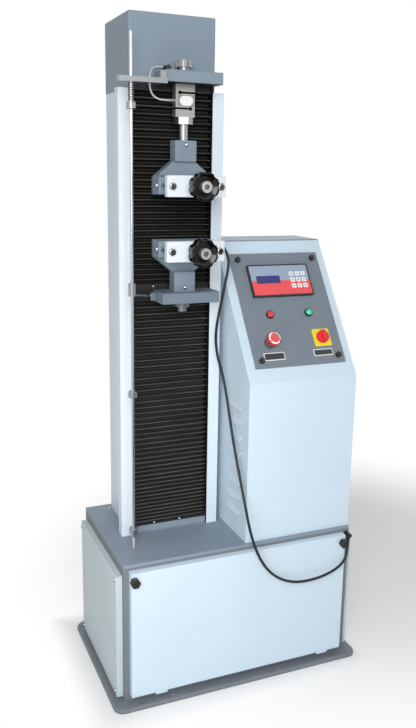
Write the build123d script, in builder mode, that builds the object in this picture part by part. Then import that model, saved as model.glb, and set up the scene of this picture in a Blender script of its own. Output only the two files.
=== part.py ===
"""Single-column tensile testing machine on a floor cabinet.

Millimetres, +X to the right, +Y to the back, +Z up, origin on the floor under the cabinet's centre.
"""
import math
import os

from build123d import *

os.makedirs("parts", exist_ok=True)

# Cabinet
base_width = 720
base_depth = 420
base_height = 434
top_plate_thickness = 8
frame_member = 40
plinth_overhang_x = 34
plinth_overhang_y = 36
plinth_thickness = 12
plinth_corner = 30
plinth_edge = 5
anchor_hole = 12
anchor_inset_x = 80
anchor_inset_y = 15
sheet = 2
panel_thickness = 18
panel_depth = 392
panel_bottom = 22
panel_height = 376
back_panel_margin = 12
screw_inset = 14
screw_shank = 6
screw_head = 12
screw_head_height = 4
screw_head_taper = 12
screw_bite = 9
cover_inset_left = 16
cover_inset_right = 24
cover_bottom = 33
cover_height = 384
cover_thickness = 20
cover_tab_width = 35
cover_tab_height = 7
cover_tab_left = 89
cover_tab_right = 63
knob_inset = 9
knob_drop = 24
cover_knob_diameter = 28
cover_knob_height = 18
cover_knob_sides = 6
cover_knob_corner = 4
cover_knob_edge = 2.5
cover_knob_stud = 6

# Column, a hat section folded from one sheet
column_inset = 199
column_height = 1264
column_sheet = 3
column_inner_width = 236
column_front = -33
column_back = 188
flange_width = 30
lip_depth = 30
top_slab_thickness = 14
top_slab_setback = 6

# Head cover
head_wall = 1.2
head_front = -36
head_back = 192
head_height = 190
head_corner = 6
head_edge = 4
head_notch_depth = 36

# Screw drive
screw_y = 112
screw_diameter = 25
screw_tail = 100
screw_top_room = 6
rod_y = 96
rod_pitch = 164
rod_diameter = 25
bearing_width = 80
bearing_height = 34
screw_pulley_diameter = 96
motor_pulley_diameter = 40
pulley_width = 22
pulley_flange = 3
pulley_flange_lip = 4
belt_thickness = 4
belt_width = 15
motor_offset = 233
motor_diameter = 92
motor_length = 170
motor_flange = 88
motor_flange_thickness = 10
motor_rib_count = 9
motor_rib_depth = 3
motor_shaft = 14
bracket_width = 96
bracket_span = 104
bracket_sheet = 6

# Load plate and load cell on the load axis
axis_offset = 23
axis_y = -58
plate_reach_left = 43
plate_reach_right = 116
plate_front = -108
crosshead_reach_left = 51
plate_thickness = 30
load_plate_tail = 150
plate_chamfer = 2
tie_bolt_diameter = 20
tie_bolt_bite = 16
tie_bolt_head = 42
tie_bolt_cap = 17
bolt_neck = 32
bolt_neck_height = 12
bolt_washer_height = 15
bolt_nose = 28
bolt_nose_height = 13
bolt_socket = 20
bolt_socket_depth = 9
bolt_flutes = 20
flute_diameter = 3
cell_width = 54
cell_depth = 25
cell_height = 84
cell_slot = 5
cell_web = 12
cell_slot_inset = 22
connector_diameter = 11
connector_length = 12
stud_diameter = 23.5
stud_hex = 50
stud_hex_height = 18
stud_hex_turn = -20
stud_length = 42

# Grips
grip_width = 162
grip_nose = 47
grip_shoulder = 41
grip_back = 25
neck_width = 61
neck_depth = 44
neck_height = 54
neck_pin = 11
neck_pin_height = 3
crown_front = 10
neck_corner = 3
bridge_room = 4
jaw_gap = 1
jaw_thickness = 32
jaw_height = 46
jaw_side_room = 1
jaw_nose_inset = 1
jaw_chamfer = 2
serration_count = 9
serration_pitch = 4.5
serration_width = 1.6
serration_depth = 1
serration_span = 60
yoke_width = 164
yoke_height = 55
yoke_thickness = 20
yoke_front = 105
yoke_corner = 2.5
yoke_chamfer = 1.5
jaw_bolt_pitch = 136
jaw_bolt_diameter = 14
jaw_bolt_head = 20
jaw_bolt_head_height = 7
jaw_bolt_bite = 16
spindle_diameter = 16
spindle_seat = 6
hand_knob_diameter = 76
hand_knob_height = 30
hand_knob_scallops = 8
scallop_radius = 12
scallop_depth = 3
scallop_blend = 6
knob_dish_radius = 32
knob_dish_depth = 9
hand_knob_front_edge = 3
hand_knob_back_edge = 2.5
hand_knob_stand = 33
hub_diameter = 29
hub_height = 6
hub_bore = 13
hub_bore_depth = 4

# Crosshead
crosshead_top = 1163
crosshead_back_room = 3
carriage_front = 58
carriage_back = 148
carriage_height = 92
carriage_width = 222
carriage_chamfer = 3
bushing_diameter = 40
bushing_length = 104
nut_diameter = 40
nut_flange = 62
nut_flange_thickness = 10
trip_rod = 7
trip_rod_rise = 1
trip_eye_drop = 2
trip_clamp_width = 16
trip_clamp_depth = 22
trip_clamp_front = -56
trip_clamp_inset = 4
trip_eye = 20
trip_eye_height = 34
trip_chamfer = 2

# Limit rod
limit_offset = 138
limit_rod_diameter = 8.5
limit_rod_top = 1825
limit_rod_chamfer = 1
limit_collar = 25
limit_collar_height = 18
limit_collar_chamfer = 1.5
lower_collar_z = 880
spring_outer = 17
spring_wire = 2.4
spring_length = 47.5
guide_bar_width = 20
guide_bar_thickness = 13
guide_bar_overhang = 35
guide_bar_chamfer = 2
guide_bar_drop = 6.5
guide_foot_width = 16
guide_foot_depth = 46
guide_foot_inset = 4
switch_bush = 12.5
switch_bush_height = 30
switch_body_width = 36
switch_body_height = 36
switch_stroke = 12

# Bellows
bellows_front = -22
bellows_depth = 26
bellows_fold = 16
bellows_side_gap = 1
upper_pleat_count = 31
lower_pleat_count = 46
bellows_gap = 0.4

# Console
console_offset = 173
console_front = -202
console_back = 210
console_knee = 912
console_top = 1289
console_top_front = 58
lid_thickness = 3
louvre_count = 8
louvre_pitch = 46
louvre_first = 500
louvre_width = 80
louvre_slot = 9
louvre_hood = 6
louvre_y = -115
control_margin_left = 28
control_margin_right = 25
control_bottom = 43
control_top = 48
control_thickness = 4
control_corner = 1.5
thumb_inset = 22
thumb_diameter = 17
thumb_height = 11
thumb_flutes = 6
thumb_flute = 5
thumb_stud = 6
display_along = 0.4986
display_rise = 0.688
display_share = 0.58
display_height = 105
display_thickness = 8
display_rim = 7
display_recess = 2
display_body_depth = 40
lamp_rise = 0.451
lamp_along_left = 0.3247
lamp_along_right = 0.691
lamp_bezel = 25
lamp_lens = 20
lamp_hole = 16
lamp_bezel_height = 4
lamp_lens_height = 6
estop_along = 0.2557
estop_rise = 0.2577
estop_collar_diameter = 34
estop_collar_height = 18
estop_collar_taper = 8
estop_head_diameter = 40
estop_head_height = 16
estop_head_edge = 6
estop_stem = 16
estop_stroke = 7
selector_along = 0.7557
selector_rise = 0.2719
selector_plate_room = 3
selector_base = 34
selector_skirt = 38
selector_grip_width = 11
selector_height = 20
selector_stem = 12

# Cables
signal_cable_diameter = 8
cell_cable_diameter = 5
gland_diameter = 14
gland_length = 24
gland_nipple = 10
gland_nipple_reach = 7
gland_nipple_back = 9
strip_gland_offset = 143
strip_gland_z = 1292
strip_gland_lean = 35
frame_gland_inset = 10
frame_gland_z = 412
head_gland_offset = 20
head_gland_z = 1753
head_gland_diameter = 12
head_gland_nipple = 8
fitting_depth = 16
bend_share = 0.45

# Clearances
running_fit = 0.05
shank_room = 0.1
part_gap = 0.4

# Places worked out from the sizes above
cover_left = cover_inset_left - base_width / 2
cover_right = base_width / 2 - cover_inset_right
column_x = column_inset - base_width / 2
motor_x = column_x + motor_offset
axis_x = column_x + axis_offset
plate_left = column_x - plate_reach_left
plate_right = column_x + plate_reach_right
crosshead_left = column_x - crosshead_reach_left
limit_x = column_x - limit_offset
strip_gland_x = column_x + strip_gland_offset
head_gland_x = column_x - head_gland_offset
frame_gland_x = base_width / 2 - frame_gland_inset
console_right = base_width / 2
console_left = column_x + console_offset
console_width = console_right - console_left
slant_length = math.hypot(console_top - console_knee, console_top_front - console_front)
control_length = slant_length - control_bottom - control_top
display_x = console_left + console_width * display_along
display_width = console_width * display_share
display_v = slant_length * display_rise
lamp_left_x = console_left + console_width * lamp_along_left
lamp_right_x = console_left + console_width * lamp_along_right
lamp_v = slant_length * lamp_rise
estop_x = console_left + console_width * estop_along
estop_v = slant_length * estop_rise
selector_x = console_left + console_width * selector_along
selector_v = slant_length * selector_rise
plinth_width = base_width + 2 * plinth_overhang_x
plinth_depth = base_depth + 2 * plinth_overhang_y
frame_top = base_height - top_plate_thickness
frame_height = frame_top - plinth_thickness
frame_front = -base_depth / 2
column_top = base_height + column_height
column_half = column_inner_width / 2
column_outer = column_half + column_sheet
head_half = column_outer + head_wall
slab_top = column_top + top_slab_thickness
load_plate_top = slab_top + plate_thickness
cell_bottom = slab_top - cell_height
stud_hex_bottom = cell_bottom - stud_hex_height
upper_neck_end = stud_hex_bottom - stud_length
grip_reach = grip_nose + grip_shoulder + neck_height
upper_nose = upper_neck_end - grip_reach
lower_nose = crosshead_top + grip_reach
crosshead_bottom = crosshead_top - plate_thickness
crosshead_mid = crosshead_top - plate_thickness / 2
limit_y = plate_front
screw_bottom = base_height - screw_tail
screw_head_end = column_top - screw_top_room
panel_mid_z = panel_bottom + panel_height / 2
cover_mid_x = (cover_left + cover_right) / 2
cover_mid_z = cover_bottom + cover_height / 2
cover_top = cover_bottom + cover_height
cover_face = frame_front - cover_thickness
knob_z = cover_top - knob_drop
slant_angle = math.atan2(console_top - console_knee, console_top_front - console_front)
slant_normal = (0, -math.sin(slant_angle), math.cos(slant_angle))
control_left = console_left + control_margin_left
control_right = console_right - control_margin_right
control_mid_x = (control_left + control_right) / 2
control_mid_v = control_bottom + control_length / 2


def front_plane(y):
    """Plane at depth y that faces the front, with X to the right and Z up."""
    return Plane.XZ.offset(-y)


def slant_plane(height):
    """Plane parallel to the console's sloping face, raised by height along its normal."""
    start = Plane(origin=(0, console_front, console_knee), x_dir=(1, 0, 0), z_dir=slant_normal)
    return start.offset(height)


def span_box(x0, x1, y0, y1, z0, z1, mode=Mode.ADD):
    """A block between two corners."""
    with Locations(((x0 + x1) / 2, (y0 + y1) / 2, (z0 + z1) / 2)):
        Box(x1 - x0, y1 - y0, z1 - z0, mode=mode)


def rod(x, y, z0, z1, diameter, mode=Mode.ADD):
    """An upright round bar or bore."""
    with Locations((x, y, (z0 + z1) / 2)):
        Cylinder(diameter / 2, z1 - z0, mode=mode)


def screw_grid(width, height):
    """Offsets of four corner screws from the middle of a panel."""
    half_w = width / 2 - screw_inset
    half_h = height / 2 - screw_inset
    return [(sx * half_w, sz * half_h) for sx in (-1, 1) for sz in (-1, 1)]


side_screws = screw_grid(panel_depth, panel_height)
back_width = base_width - 2 * back_panel_margin
back_height = panel_height
back_screws = screw_grid(back_width, back_height)
side_planes = {
    "left": Plane(origin=(-base_width / 2, 0, panel_mid_z), x_dir=(0, -1, 0), z_dir=(-1, 0, 0)),
    "right": Plane(origin=(base_width / 2, 0, panel_mid_z), x_dir=(0, 1, 0), z_dir=(1, 0, 0)),
}
rear_plane = Plane(origin=(0, base_depth / 2, panel_mid_z), x_dir=(-1, 0, 0), z_dir=(0, 1, 0))
cover_knobs = {"left": cover_left + knob_inset, "right": cover_right - knob_inset}
motor_flange_top = screw_bottom - bracket_sheet - part_gap
pulley_z = screw_bottom + pulley_width / 2

# Welded cabinet frame on its floor plinth
with BuildPart() as base_frame:
    with BuildSketch():
        RectangleRounded(plinth_width, plinth_depth, plinth_corner)
        with GridLocations(plinth_width - 2 * anchor_inset_x, plinth_depth - 2 * anchor_inset_y, 2, 2):
            Circle(anchor_hole / 2, mode=Mode.SUBTRACT)
    extrude(amount=plinth_thickness)
    fillet(base_frame.faces().sort_by(Axis.Z)[-1].outer_wire().edges(), plinth_edge)
    with BuildSketch(Plane.XY.offset(plinth_thickness)):
        Rectangle(base_width, base_depth)
    extrude(amount=frame_height)
    window = frame_height - 2 * frame_member
    with Locations((0, 0, plinth_thickness + frame_height / 2)):
        Box(base_width, base_depth - 2 * frame_member, window, mode=Mode.SUBTRACT)
        Box(base_width - 2 * frame_member, base_depth, window, mode=Mode.SUBTRACT)
        Box(base_width - 2 * frame_member, base_depth - 2 * frame_member, frame_height, mode=Mode.SUBTRACT)
    for plane in side_planes.values():
        with BuildSketch(plane):
            with Locations(*side_screws):
                Circle(screw_shank / 2 + shank_room)
        extrude(amount=-screw_bite - shank_room, mode=Mode.SUBTRACT)
    with BuildSketch(rear_plane):
        with Locations(*back_screws):
            Circle(screw_shank / 2 + shank_room)
    extrude(amount=-screw_bite - shank_room, mode=Mode.SUBTRACT)
    with BuildSketch(front_plane(frame_front)):
        with Locations(*[(x, knob_z) for x in cover_knobs.values()]):
            Circle(cover_knob_stud / 2 + running_fit)
    extrude(amount=-screw_bite, mode=Mode.SUBTRACT)

# Work surface on the cabinet
with BuildPart() as base_top_plate:
    with BuildSketch(Plane.XY.offset(frame_top)):
        Rectangle(base_width, base_depth)
        with Locations((column_x, screw_y)):
            Circle(screw_diameter / 2 + part_gap, mode=Mode.SUBTRACT)
        with Locations((limit_x, limit_y)):
            Circle(switch_bush / 2 + shank_room, mode=Mode.SUBTRACT)
    extrude(amount=top_plate_thickness)


def side_panel(plane):
    """Folded tray panel, open towards the cabinet, with four screw holes."""
    with BuildPart() as panel:
        with BuildSketch(plane):
            Rectangle(panel_depth, panel_height)
        extrude(amount=panel_thickness)
        inner = panel.faces().sort_by(Axis(plane.origin, plane.z_dir))[0]
        offset(amount=-sheet, openings=inner)
        with BuildSketch(plane):
            with Locations(*side_screws):
                Circle(screw_shank / 2 + shank_room)
        extrude(amount=panel_thickness, mode=Mode.SUBTRACT)
        chamfer(panel.faces().sort_by(Axis(plane.origin, plane.z_dir))[-1].outer_wire().edges(), sheet / 2)
    return panel


left_side_panel = side_panel(side_planes["left"])
right_side_panel = side_panel(side_planes["right"])

with BuildPart() as base_back_panel:
    with BuildSketch(rear_plane):
        Rectangle(back_width, back_height)
        with Locations(*back_screws):
            Circle(screw_shank / 2 + shank_room, mode=Mode.SUBTRACT)
    extrude(amount=sheet)


def dome_screw(plane, lift, places):
    """Dome-headed screws whose heads stand lift above the frame, biting into it."""
    with BuildSketch(plane.offset(-screw_bite)) as shank:
        with Locations(*places):
            Circle(screw_shank / 2)
    extrude(shank.sketch, amount=screw_bite + lift)
    with BuildSketch(plane.offset(lift)) as head:
        with Locations(*places):
            Circle(screw_head / 2)
    extrude(head.sketch, amount=screw_head_height, taper=screw_head_taper)


with BuildPart() as panel_screws:
    for plane in side_planes.values():
        dome_screw(plane, panel_thickness, side_screws)
    dome_screw(rear_plane, sheet, back_screws)

# Lift-off front cover with two locating tabs and two quarter-turn knobs
with BuildPart() as front_cover:
    with BuildSketch(front_plane(frame_front)):
        with Locations((cover_mid_x, cover_mid_z)):
            Rectangle(cover_right - cover_left, cover_height)
    extrude(amount=cover_thickness)
    offset(amount=-sheet, openings=front_cover.faces().sort_by(Axis.Y)[-1])
    for tab_x in (cover_left + cover_tab_left, cover_right - cover_tab_right):
        span_box(tab_x - cover_tab_width / 2, tab_x + cover_tab_width / 2,
                 cover_face, cover_face + sheet, cover_bottom - cover_tab_height, cover_bottom + sheet)
    with BuildSketch(front_plane(frame_front)):
        with Locations(*[(x, knob_z) for x in cover_knobs.values()]):
            Circle(cover_knob_stud / 2 + running_fit)
    extrude(amount=cover_thickness, mode=Mode.SUBTRACT)


def cover_knob(x):
    """Six-sided knob with rounded corners on a plain stud."""
    start = front_plane(cover_face - part_gap)
    with BuildPart() as knob:
        with BuildSketch(Plane(origin=(x, start.origin.Y, knob_z), x_dir=(1, 0, 0), z_dir=(0, -1, 0))):
            outline = RegularPolygon(cover_knob_diameter / 2, cover_knob_sides)
            fillet(outline.vertices(), cover_knob_corner)
        extrude(amount=cover_knob_height)
        fillet(knob.faces().sort_by(Axis.Y)[0].outer_wire().edges(), cover_knob_edge)
        with BuildSketch(start):
            with Locations((x, knob_z)):
                Circle(cover_knob_stud / 2)
        extrude(amount=-cover_thickness - part_gap - screw_bite + shank_room)
    return knob


cover_knob_left = cover_knob(cover_knobs["left"])
cover_knob_right = cover_knob(cover_knobs["right"])

# Column sheet: back web, two walls, two front flanges and their return lips
with BuildPart() as column_profile:
    with BuildSketch(Plane.XY.offset(base_height)):
        with BuildLine():
            outer = [(column_half + flange_width + column_sheet, column_front + lip_depth),
                     (column_half + flange_width + column_sheet, column_front),
                     (column_half, column_front), (column_half, column_back - column_sheet)]
            inner = [(column_outer, column_back), (column_outer, column_front + column_sheet),
                     (column_half + flange_width, column_front + column_sheet),
                     (column_half + flange_width, column_front + lip_depth)]
            right = [(column_x + x, y) for x, y in outer]
            left = [(column_x - x, y) for x, y in reversed(outer)]
            back_left = [(column_x - x, y) for x, y in reversed(inner)]
            back_right = [(column_x + x, y) for x, y in inner]
            Polyline(*right, *left, *back_left, *back_right, close=True)
        make_face()
    extrude(amount=column_height)

with BuildPart() as column_top_plate:
    span_box(column_x - column_outer + part_gap, column_x + column_outer - part_gap,
             column_front + top_slab_setback, column_back, column_top, slab_top)
    fillet(column_top_plate.edges().filter_by(Axis.Z), head_corner)
    for side in (-1, 1):
        rod(column_x + side * rod_pitch / 2, rod_y, column_top, slab_top, screw_shank, Mode.SUBTRACT)

with BuildPart() as head_cover:
    span_box(column_x - head_half, column_x + head_half, head_front, head_back,
             column_top, column_top + head_height)
    fillet(head_cover.edges().filter_by(Axis.Z), head_corner)
    fillet(head_cover.faces().sort_by(Axis.Z)[-1].edges(), head_edge)
    offset(amount=-head_wall, openings=head_cover.faces().sort_by(Axis.Z)[0])
    span_box(plate_left - part_gap, plate_right + part_gap,
             head_front - head_wall, head_front + head_notch_depth,
             column_top, load_plate_top + part_gap, Mode.SUBTRACT)

# Screw drive behind the bellows
with BuildPart() as guide_rods:
    for side in (-1, 1):
        rod(column_x + side * rod_pitch / 2, rod_y, base_height, column_top, rod_diameter)

with BuildPart() as ball_screw:
    rod(column_x, screw_y, screw_bottom, screw_head_end, screw_diameter)
    chamfer(ball_screw.edges().filter_by(GeomType.CIRCLE), screw_diameter / 12)


def bearing_block(z0):
    """Square bearing housing round the drive screw."""
    with BuildPart() as block:
        with BuildSketch(Plane.XY.offset(z0)):
            with Locations((column_x, screw_y)):
                RectangleRounded(bearing_width, bearing_width, bearing_width / 8)
                Circle(screw_diameter / 2 + running_fit, mode=Mode.SUBTRACT)
        extrude(amount=bearing_height)
        chamfer(block.faces().sort_by(Axis.Z)[0].outer_wire().edges(), bearing_height / 12)
    return block


lower_bearing_block = bearing_block(frame_top - bearing_height)
upper_bearing_block = bearing_block(column_top - bearing_height)


def pulley(x, diameter, bore):
    """Flanged belt pulley at the height of the belt."""
    with BuildPart() as wheel:
        rod(x, screw_y, screw_bottom, screw_bottom + pulley_width, diameter)
        for z in (screw_bottom, screw_bottom + pulley_width - pulley_flange):
            rod(x, screw_y, z, z + pulley_flange, diameter + 2 * pulley_flange_lip)
        rod(x, screw_y, screw_bottom, screw_bottom + pulley_width, bore + 2 * shank_room, Mode.SUBTRACT)
    return wheel


screw_pulley = pulley(column_x, screw_pulley_diameter, screw_diameter)

with BuildPart() as motor_pulley:
    rod(motor_x, screw_y, screw_bottom, screw_bottom + pulley_width, motor_pulley_diameter)
    for z in (screw_bottom, screw_bottom + pulley_width - pulley_flange):
        rod(motor_x, screw_y, z, z + pulley_flange, motor_pulley_diameter + 2 * pulley_flange_lip)
    rod(motor_x, screw_y, screw_bottom - bracket_sheet - motor_flange_thickness, screw_bottom, motor_shaft)

with BuildPart() as timing_belt:
    with BuildSketch(Plane.XY.offset(pulley_z - belt_width / 2)):
        with BuildSketch(mode=Mode.PRIVATE) as wheels:
            with Locations((column_x, screw_y)):
                Circle(screw_pulley_diameter / 2 + part_gap)
            with Locations((motor_x, screw_y)):
                Circle(motor_pulley_diameter / 2 + part_gap)
        loop = make_hull(wheels.sketch.edges(), mode=Mode.PRIVATE)
        add(offset(loop, amount=belt_thickness, mode=Mode.PRIVATE))
        add(loop, mode=Mode.SUBTRACT)
    extrude(amount=belt_width)

with BuildPart() as drive_motor:
    flange_bottom = motor_flange_top - motor_flange_thickness
    with BuildSketch(Plane.XY.offset(flange_bottom)):
        with Locations((motor_x, screw_y)):
            RectangleRounded(motor_flange, motor_flange, motor_flange / 10)
    extrude(amount=motor_flange_thickness)
    rod(motor_x, screw_y, flange_bottom - motor_length, flange_bottom, motor_diameter - 2 * motor_rib_depth)
    rib_pitch = motor_length / motor_rib_count
    for index in range(motor_rib_count):
        rib_z = flange_bottom - motor_length + index * rib_pitch
        rod(motor_x, screw_y, rib_z, rib_z + rib_pitch / 2, motor_diameter)
    rod(motor_x, screw_y, motor_flange_top - motor_flange_thickness - part_gap, motor_flange_top,
        motor_shaft + 2 * running_fit, Mode.SUBTRACT)

with BuildPart() as motor_bracket:
    span_box(motor_x - bracket_width / 2, motor_x + bracket_width / 2,
             screw_y - bracket_span / 2, screw_y + bracket_span / 2, motor_flange_top, frame_top)
    span_box(motor_x - bracket_width, motor_x + bracket_width,
             screw_y - bracket_span / 2 + bracket_sheet, screw_y + bracket_span / 2 - bracket_sheet,
             motor_flange_top + bracket_sheet, frame_top, Mode.SUBTRACT)
    rod(motor_x, screw_y, motor_flange_top, motor_flange_top + bracket_sheet,
        motor_shaft + 2 * running_fit, Mode.SUBTRACT)

# Load plate, load cell and its stud
with BuildPart() as load_plate:
    span_box(plate_left, plate_right, plate_front, load_plate_tail, slab_top, load_plate_top)
    chamfer(load_plate.edges().group_by(Axis.Y)[0], plate_chamfer)
    rod(axis_x, axis_y, slab_top, load_plate_top, tie_bolt_diameter + 2 * shank_room, Mode.SUBTRACT)


def tie_bolt(seat_z, shank_end, steps):
    """Cap bolt on the load axis: its head rests on seat_z; steps give diameter, height and flutes."""
    way = 1 if seat_z > shank_end else -1
    with BuildPart() as bolt:
        rod(axis_x, axis_y, min(seat_z, shank_end), max(seat_z, shank_end), tie_bolt_diameter)
        foot = seat_z
        for diameter, height, flutes in steps:
            with BuildSketch(Plane.XY.offset(foot)):
                with Locations((axis_x, axis_y)):
                    Circle(diameter / 2)
                    if flutes:
                        with PolarLocations(diameter / 2, flutes):
                            Circle(flute_diameter / 2, mode=Mode.SUBTRACT)
            extrude(amount=way * height)
            foot += way * height
        with BuildSketch(Plane.XY.offset(foot)):
            with Locations((axis_x, axis_y)):
                RegularPolygon(bolt_socket / 2, 6)
        extrude(amount=-way * bolt_socket_depth, mode=Mode.SUBTRACT)
    return bolt


load_plate_bolt = tie_bolt(load_plate_top, slab_top - tie_bolt_bite,
                           [(bolt_neck, bolt_neck_height, 0), (tie_bolt_head, tie_bolt_cap, bolt_flutes)])
crosshead_bolt = tie_bolt(crosshead_bottom, crosshead_top + tie_bolt_bite,
                          [(tie_bolt_head, bolt_washer_height, bolt_flutes),
                           (bolt_nose, bolt_nose_height, 0)])

with BuildPart() as load_cell:
    with BuildSketch(front_plane(axis_y + cell_depth / 2)):
        with Locations((axis_x, cell_bottom + cell_height / 2)):
            Rectangle(cell_width, cell_height)
            for way in (-1, 1):
                with Locations((way * cell_web / 2, way * (cell_height / 2 - cell_slot_inset))):
                    Rectangle(cell_width - cell_web, cell_slot, mode=Mode.SUBTRACT)
                with Locations((-way * (cell_width / 2 - cell_web),
                                way * (cell_height / 2 - cell_slot_inset))):
                    Circle(cell_slot, mode=Mode.SUBTRACT)
    extrude(amount=cell_depth)
    for z0, z1 in ((cell_bottom, cell_bottom + tie_bolt_bite), (slab_top - tie_bolt_bite, slab_top)):
        rod(axis_x, axis_y, z0, z1, tie_bolt_diameter + 2 * shank_room, Mode.SUBTRACT)
    with BuildSketch(Plane.YZ.offset(axis_x - cell_width / 2 - connector_length)):
        with Locations((axis_y, cell_bottom + cell_height / 2)):
            Circle(connector_diameter / 2)
    extrude(amount=connector_length + cell_web / 2)

with BuildPart() as load_stud:
    rod(axis_x, axis_y, upper_neck_end - tie_bolt_bite + shank_room, cell_bottom + tie_bolt_bite - shank_room,
        tie_bolt_diameter)
    rod(axis_x, axis_y, upper_neck_end, stud_hex_bottom, stud_diameter)
    with BuildSketch(Plane.XY.offset(stud_hex_bottom)):
        with Locations((axis_x, axis_y)):
            RegularPolygon(stud_hex / 2, 6, rotation=stud_hex_turn)
    extrude(amount=stud_hex_height)


def jaw_bolt_places(center_z):
    """Places of the two tie bolts that carry a grip's yoke."""
    return [(axis_x + side * jaw_bolt_pitch / 2, center_z) for side in (-1, 1)]


jaw_face_y = axis_y + jaw_gap / 2
jaw_front_y = axis_y - jaw_gap / 2 - jaw_thickness
yoke_front_y = axis_y - yoke_front
knob_back_y = yoke_front_y - hand_knob_stand
grip_center = jaw_height / 2 + jaw_nose_inset


def serrate(face_y, center_z):
    """Cut a row of level grooves into a jaw face."""
    for index in range(serration_count):
        shift = (index - (serration_count - 1) / 2) * serration_pitch
        with Locations((axis_x, face_y, center_z + shift)):
            Box(serration_span, 2 * serration_depth, serration_width, mode=Mode.SUBTRACT)


def grip_body(nose, way):
    """Fixed jaw with its neck: a five-sided plate seen from the front; way points from nose to neck."""
    shoulder = nose + way * grip_nose
    crown = shoulder + way * grip_shoulder
    neck_end = crown + way * neck_height
    bridge = nose + way * (jaw_height + bridge_room)
    half = grip_width / 2
    slope = (half - neck_width / 2) / grip_shoulder
    bridge_half = half - max(abs(bridge - nose) - grip_nose, 0) * slope
    outline = [(half, nose), (half, shoulder), (neck_width / 2, crown),
               (-neck_width / 2, crown), (-half, shoulder), (-half, nose)]
    crown_outline = [(bridge_half, bridge), (neck_width / 2, crown),
                     (-neck_width / 2, crown), (-bridge_half, bridge)]
    with BuildPart() as body:
        for points, start, depth in ((outline, axis_y + grip_back, grip_back - jaw_gap / 2),
                                     (crown_outline, axis_y + grip_back, grip_back + crown_front)):
            with BuildSketch(front_plane(start)):
                with BuildLine():
                    Polyline(*[(axis_x + x, z) for x, z in points], close=True)
                make_face()
            extrude(amount=depth)
        with BuildSketch(Plane.XY.offset(min(crown, neck_end))):
            with Locations((axis_x, axis_y)):
                RectangleRounded(neck_width, neck_depth, neck_corner)
        extrude(amount=neck_height)
        with BuildSketch(front_plane(axis_y - neck_depth / 2)):
            with Locations((axis_x, neck_end - way * neck_pin)):
                Circle(neck_pin / 2)
        extrude(amount=neck_pin_height)
        rod(axis_x, axis_y, min(neck_end, neck_end - way * tie_bolt_bite),
            max(neck_end, neck_end - way * tie_bolt_bite), tie_bolt_diameter + 2 * shank_room, Mode.SUBTRACT)
        with BuildSketch(front_plane(jaw_face_y)):
            with Locations(*jaw_bolt_places(nose + way * grip_center)):
                Circle(jaw_bolt_diameter / 2 + shank_room)
        extrude(amount=-jaw_bolt_bite, mode=Mode.SUBTRACT)
        serrate(jaw_face_y, nose + way * grip_center)
    return body


def grip_jaw(nose, way):
    """Sliding jaw, guided by the tie bolts, with a serrated face and a seat for the spindle."""
    center = nose + way * grip_center
    with BuildPart() as jaw:
        with BuildSketch(front_plane(axis_y - jaw_gap / 2)):
            with Locations((axis_x, center)):
                Rectangle(grip_width - 2 * jaw_side_room, jaw_height)
            with Locations(*jaw_bolt_places(center)):
                Circle(jaw_bolt_diameter / 2 + running_fit, mode=Mode.SUBTRACT)
        extrude(amount=jaw_thickness)
        chamfer(jaw.faces().sort_by(Axis.Y)[0].outer_wire().edges(), jaw_chamfer)
        with BuildSketch(front_plane(jaw_front_y)):
            with Locations((axis_x, center)):
                Circle(spindle_diameter / 2 + running_fit)
        extrude(amount=-spindle_seat, mode=Mode.SUBTRACT)
        serrate(axis_y - jaw_gap / 2, center)
    return jaw


def grip_yoke(center):
    """Front yoke plate that carries the spindle."""
    with BuildPart() as yoke:
        with BuildSketch(front_plane(yoke_front_y + yoke_thickness)):
            with Locations((axis_x, center)):
                RectangleRounded(yoke_width, yoke_height, yoke_corner)
                Circle(spindle_diameter / 2 + running_fit, mode=Mode.SUBTRACT)
            with Locations(*jaw_bolt_places(center)):
                Circle(jaw_bolt_diameter / 2 + shank_room, mode=Mode.SUBTRACT)
        extrude(amount=yoke_thickness)
        chamfer(yoke.faces().sort_by(Axis.Y)[0].outer_wire().edges(), yoke_chamfer)
    return yoke


def grip_bolts(center):
    """Two dome-headed tie bolts through yoke and jaw into the fixed jaw."""
    with BuildPart() as bolts:
        with BuildSketch(front_plane(jaw_face_y + jaw_bolt_bite - shank_room)):
            with Locations(*jaw_bolt_places(center)):
                Circle(jaw_bolt_diameter / 2)
        extrude(amount=jaw_face_y + jaw_bolt_bite - shank_room - yoke_front_y)
        with BuildSketch(front_plane(yoke_front_y)):
            with Locations(*jaw_bolt_places(center)):
                Circle(jaw_bolt_head / 2)
        extrude(amount=jaw_bolt_head_height)
        fillet(bolts.faces().sort_by(Axis.Y)[0:2].edges(), jaw_bolt_head_height / 2)
    return bolts


def scalloped_sketch():
    """Round hand knob outline with a ring of shallow hollows."""
    with BuildSketch(Plane.XY) as outline:
        Circle(hand_knob_diameter / 2)
        with PolarLocations(hand_knob_diameter / 2 - scallop_depth + scallop_radius, hand_knob_scallops):
            Circle(scallop_radius, mode=Mode.SUBTRACT)
        fillet(outline.vertices(), scallop_blend)
    return outline.sketch


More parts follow.
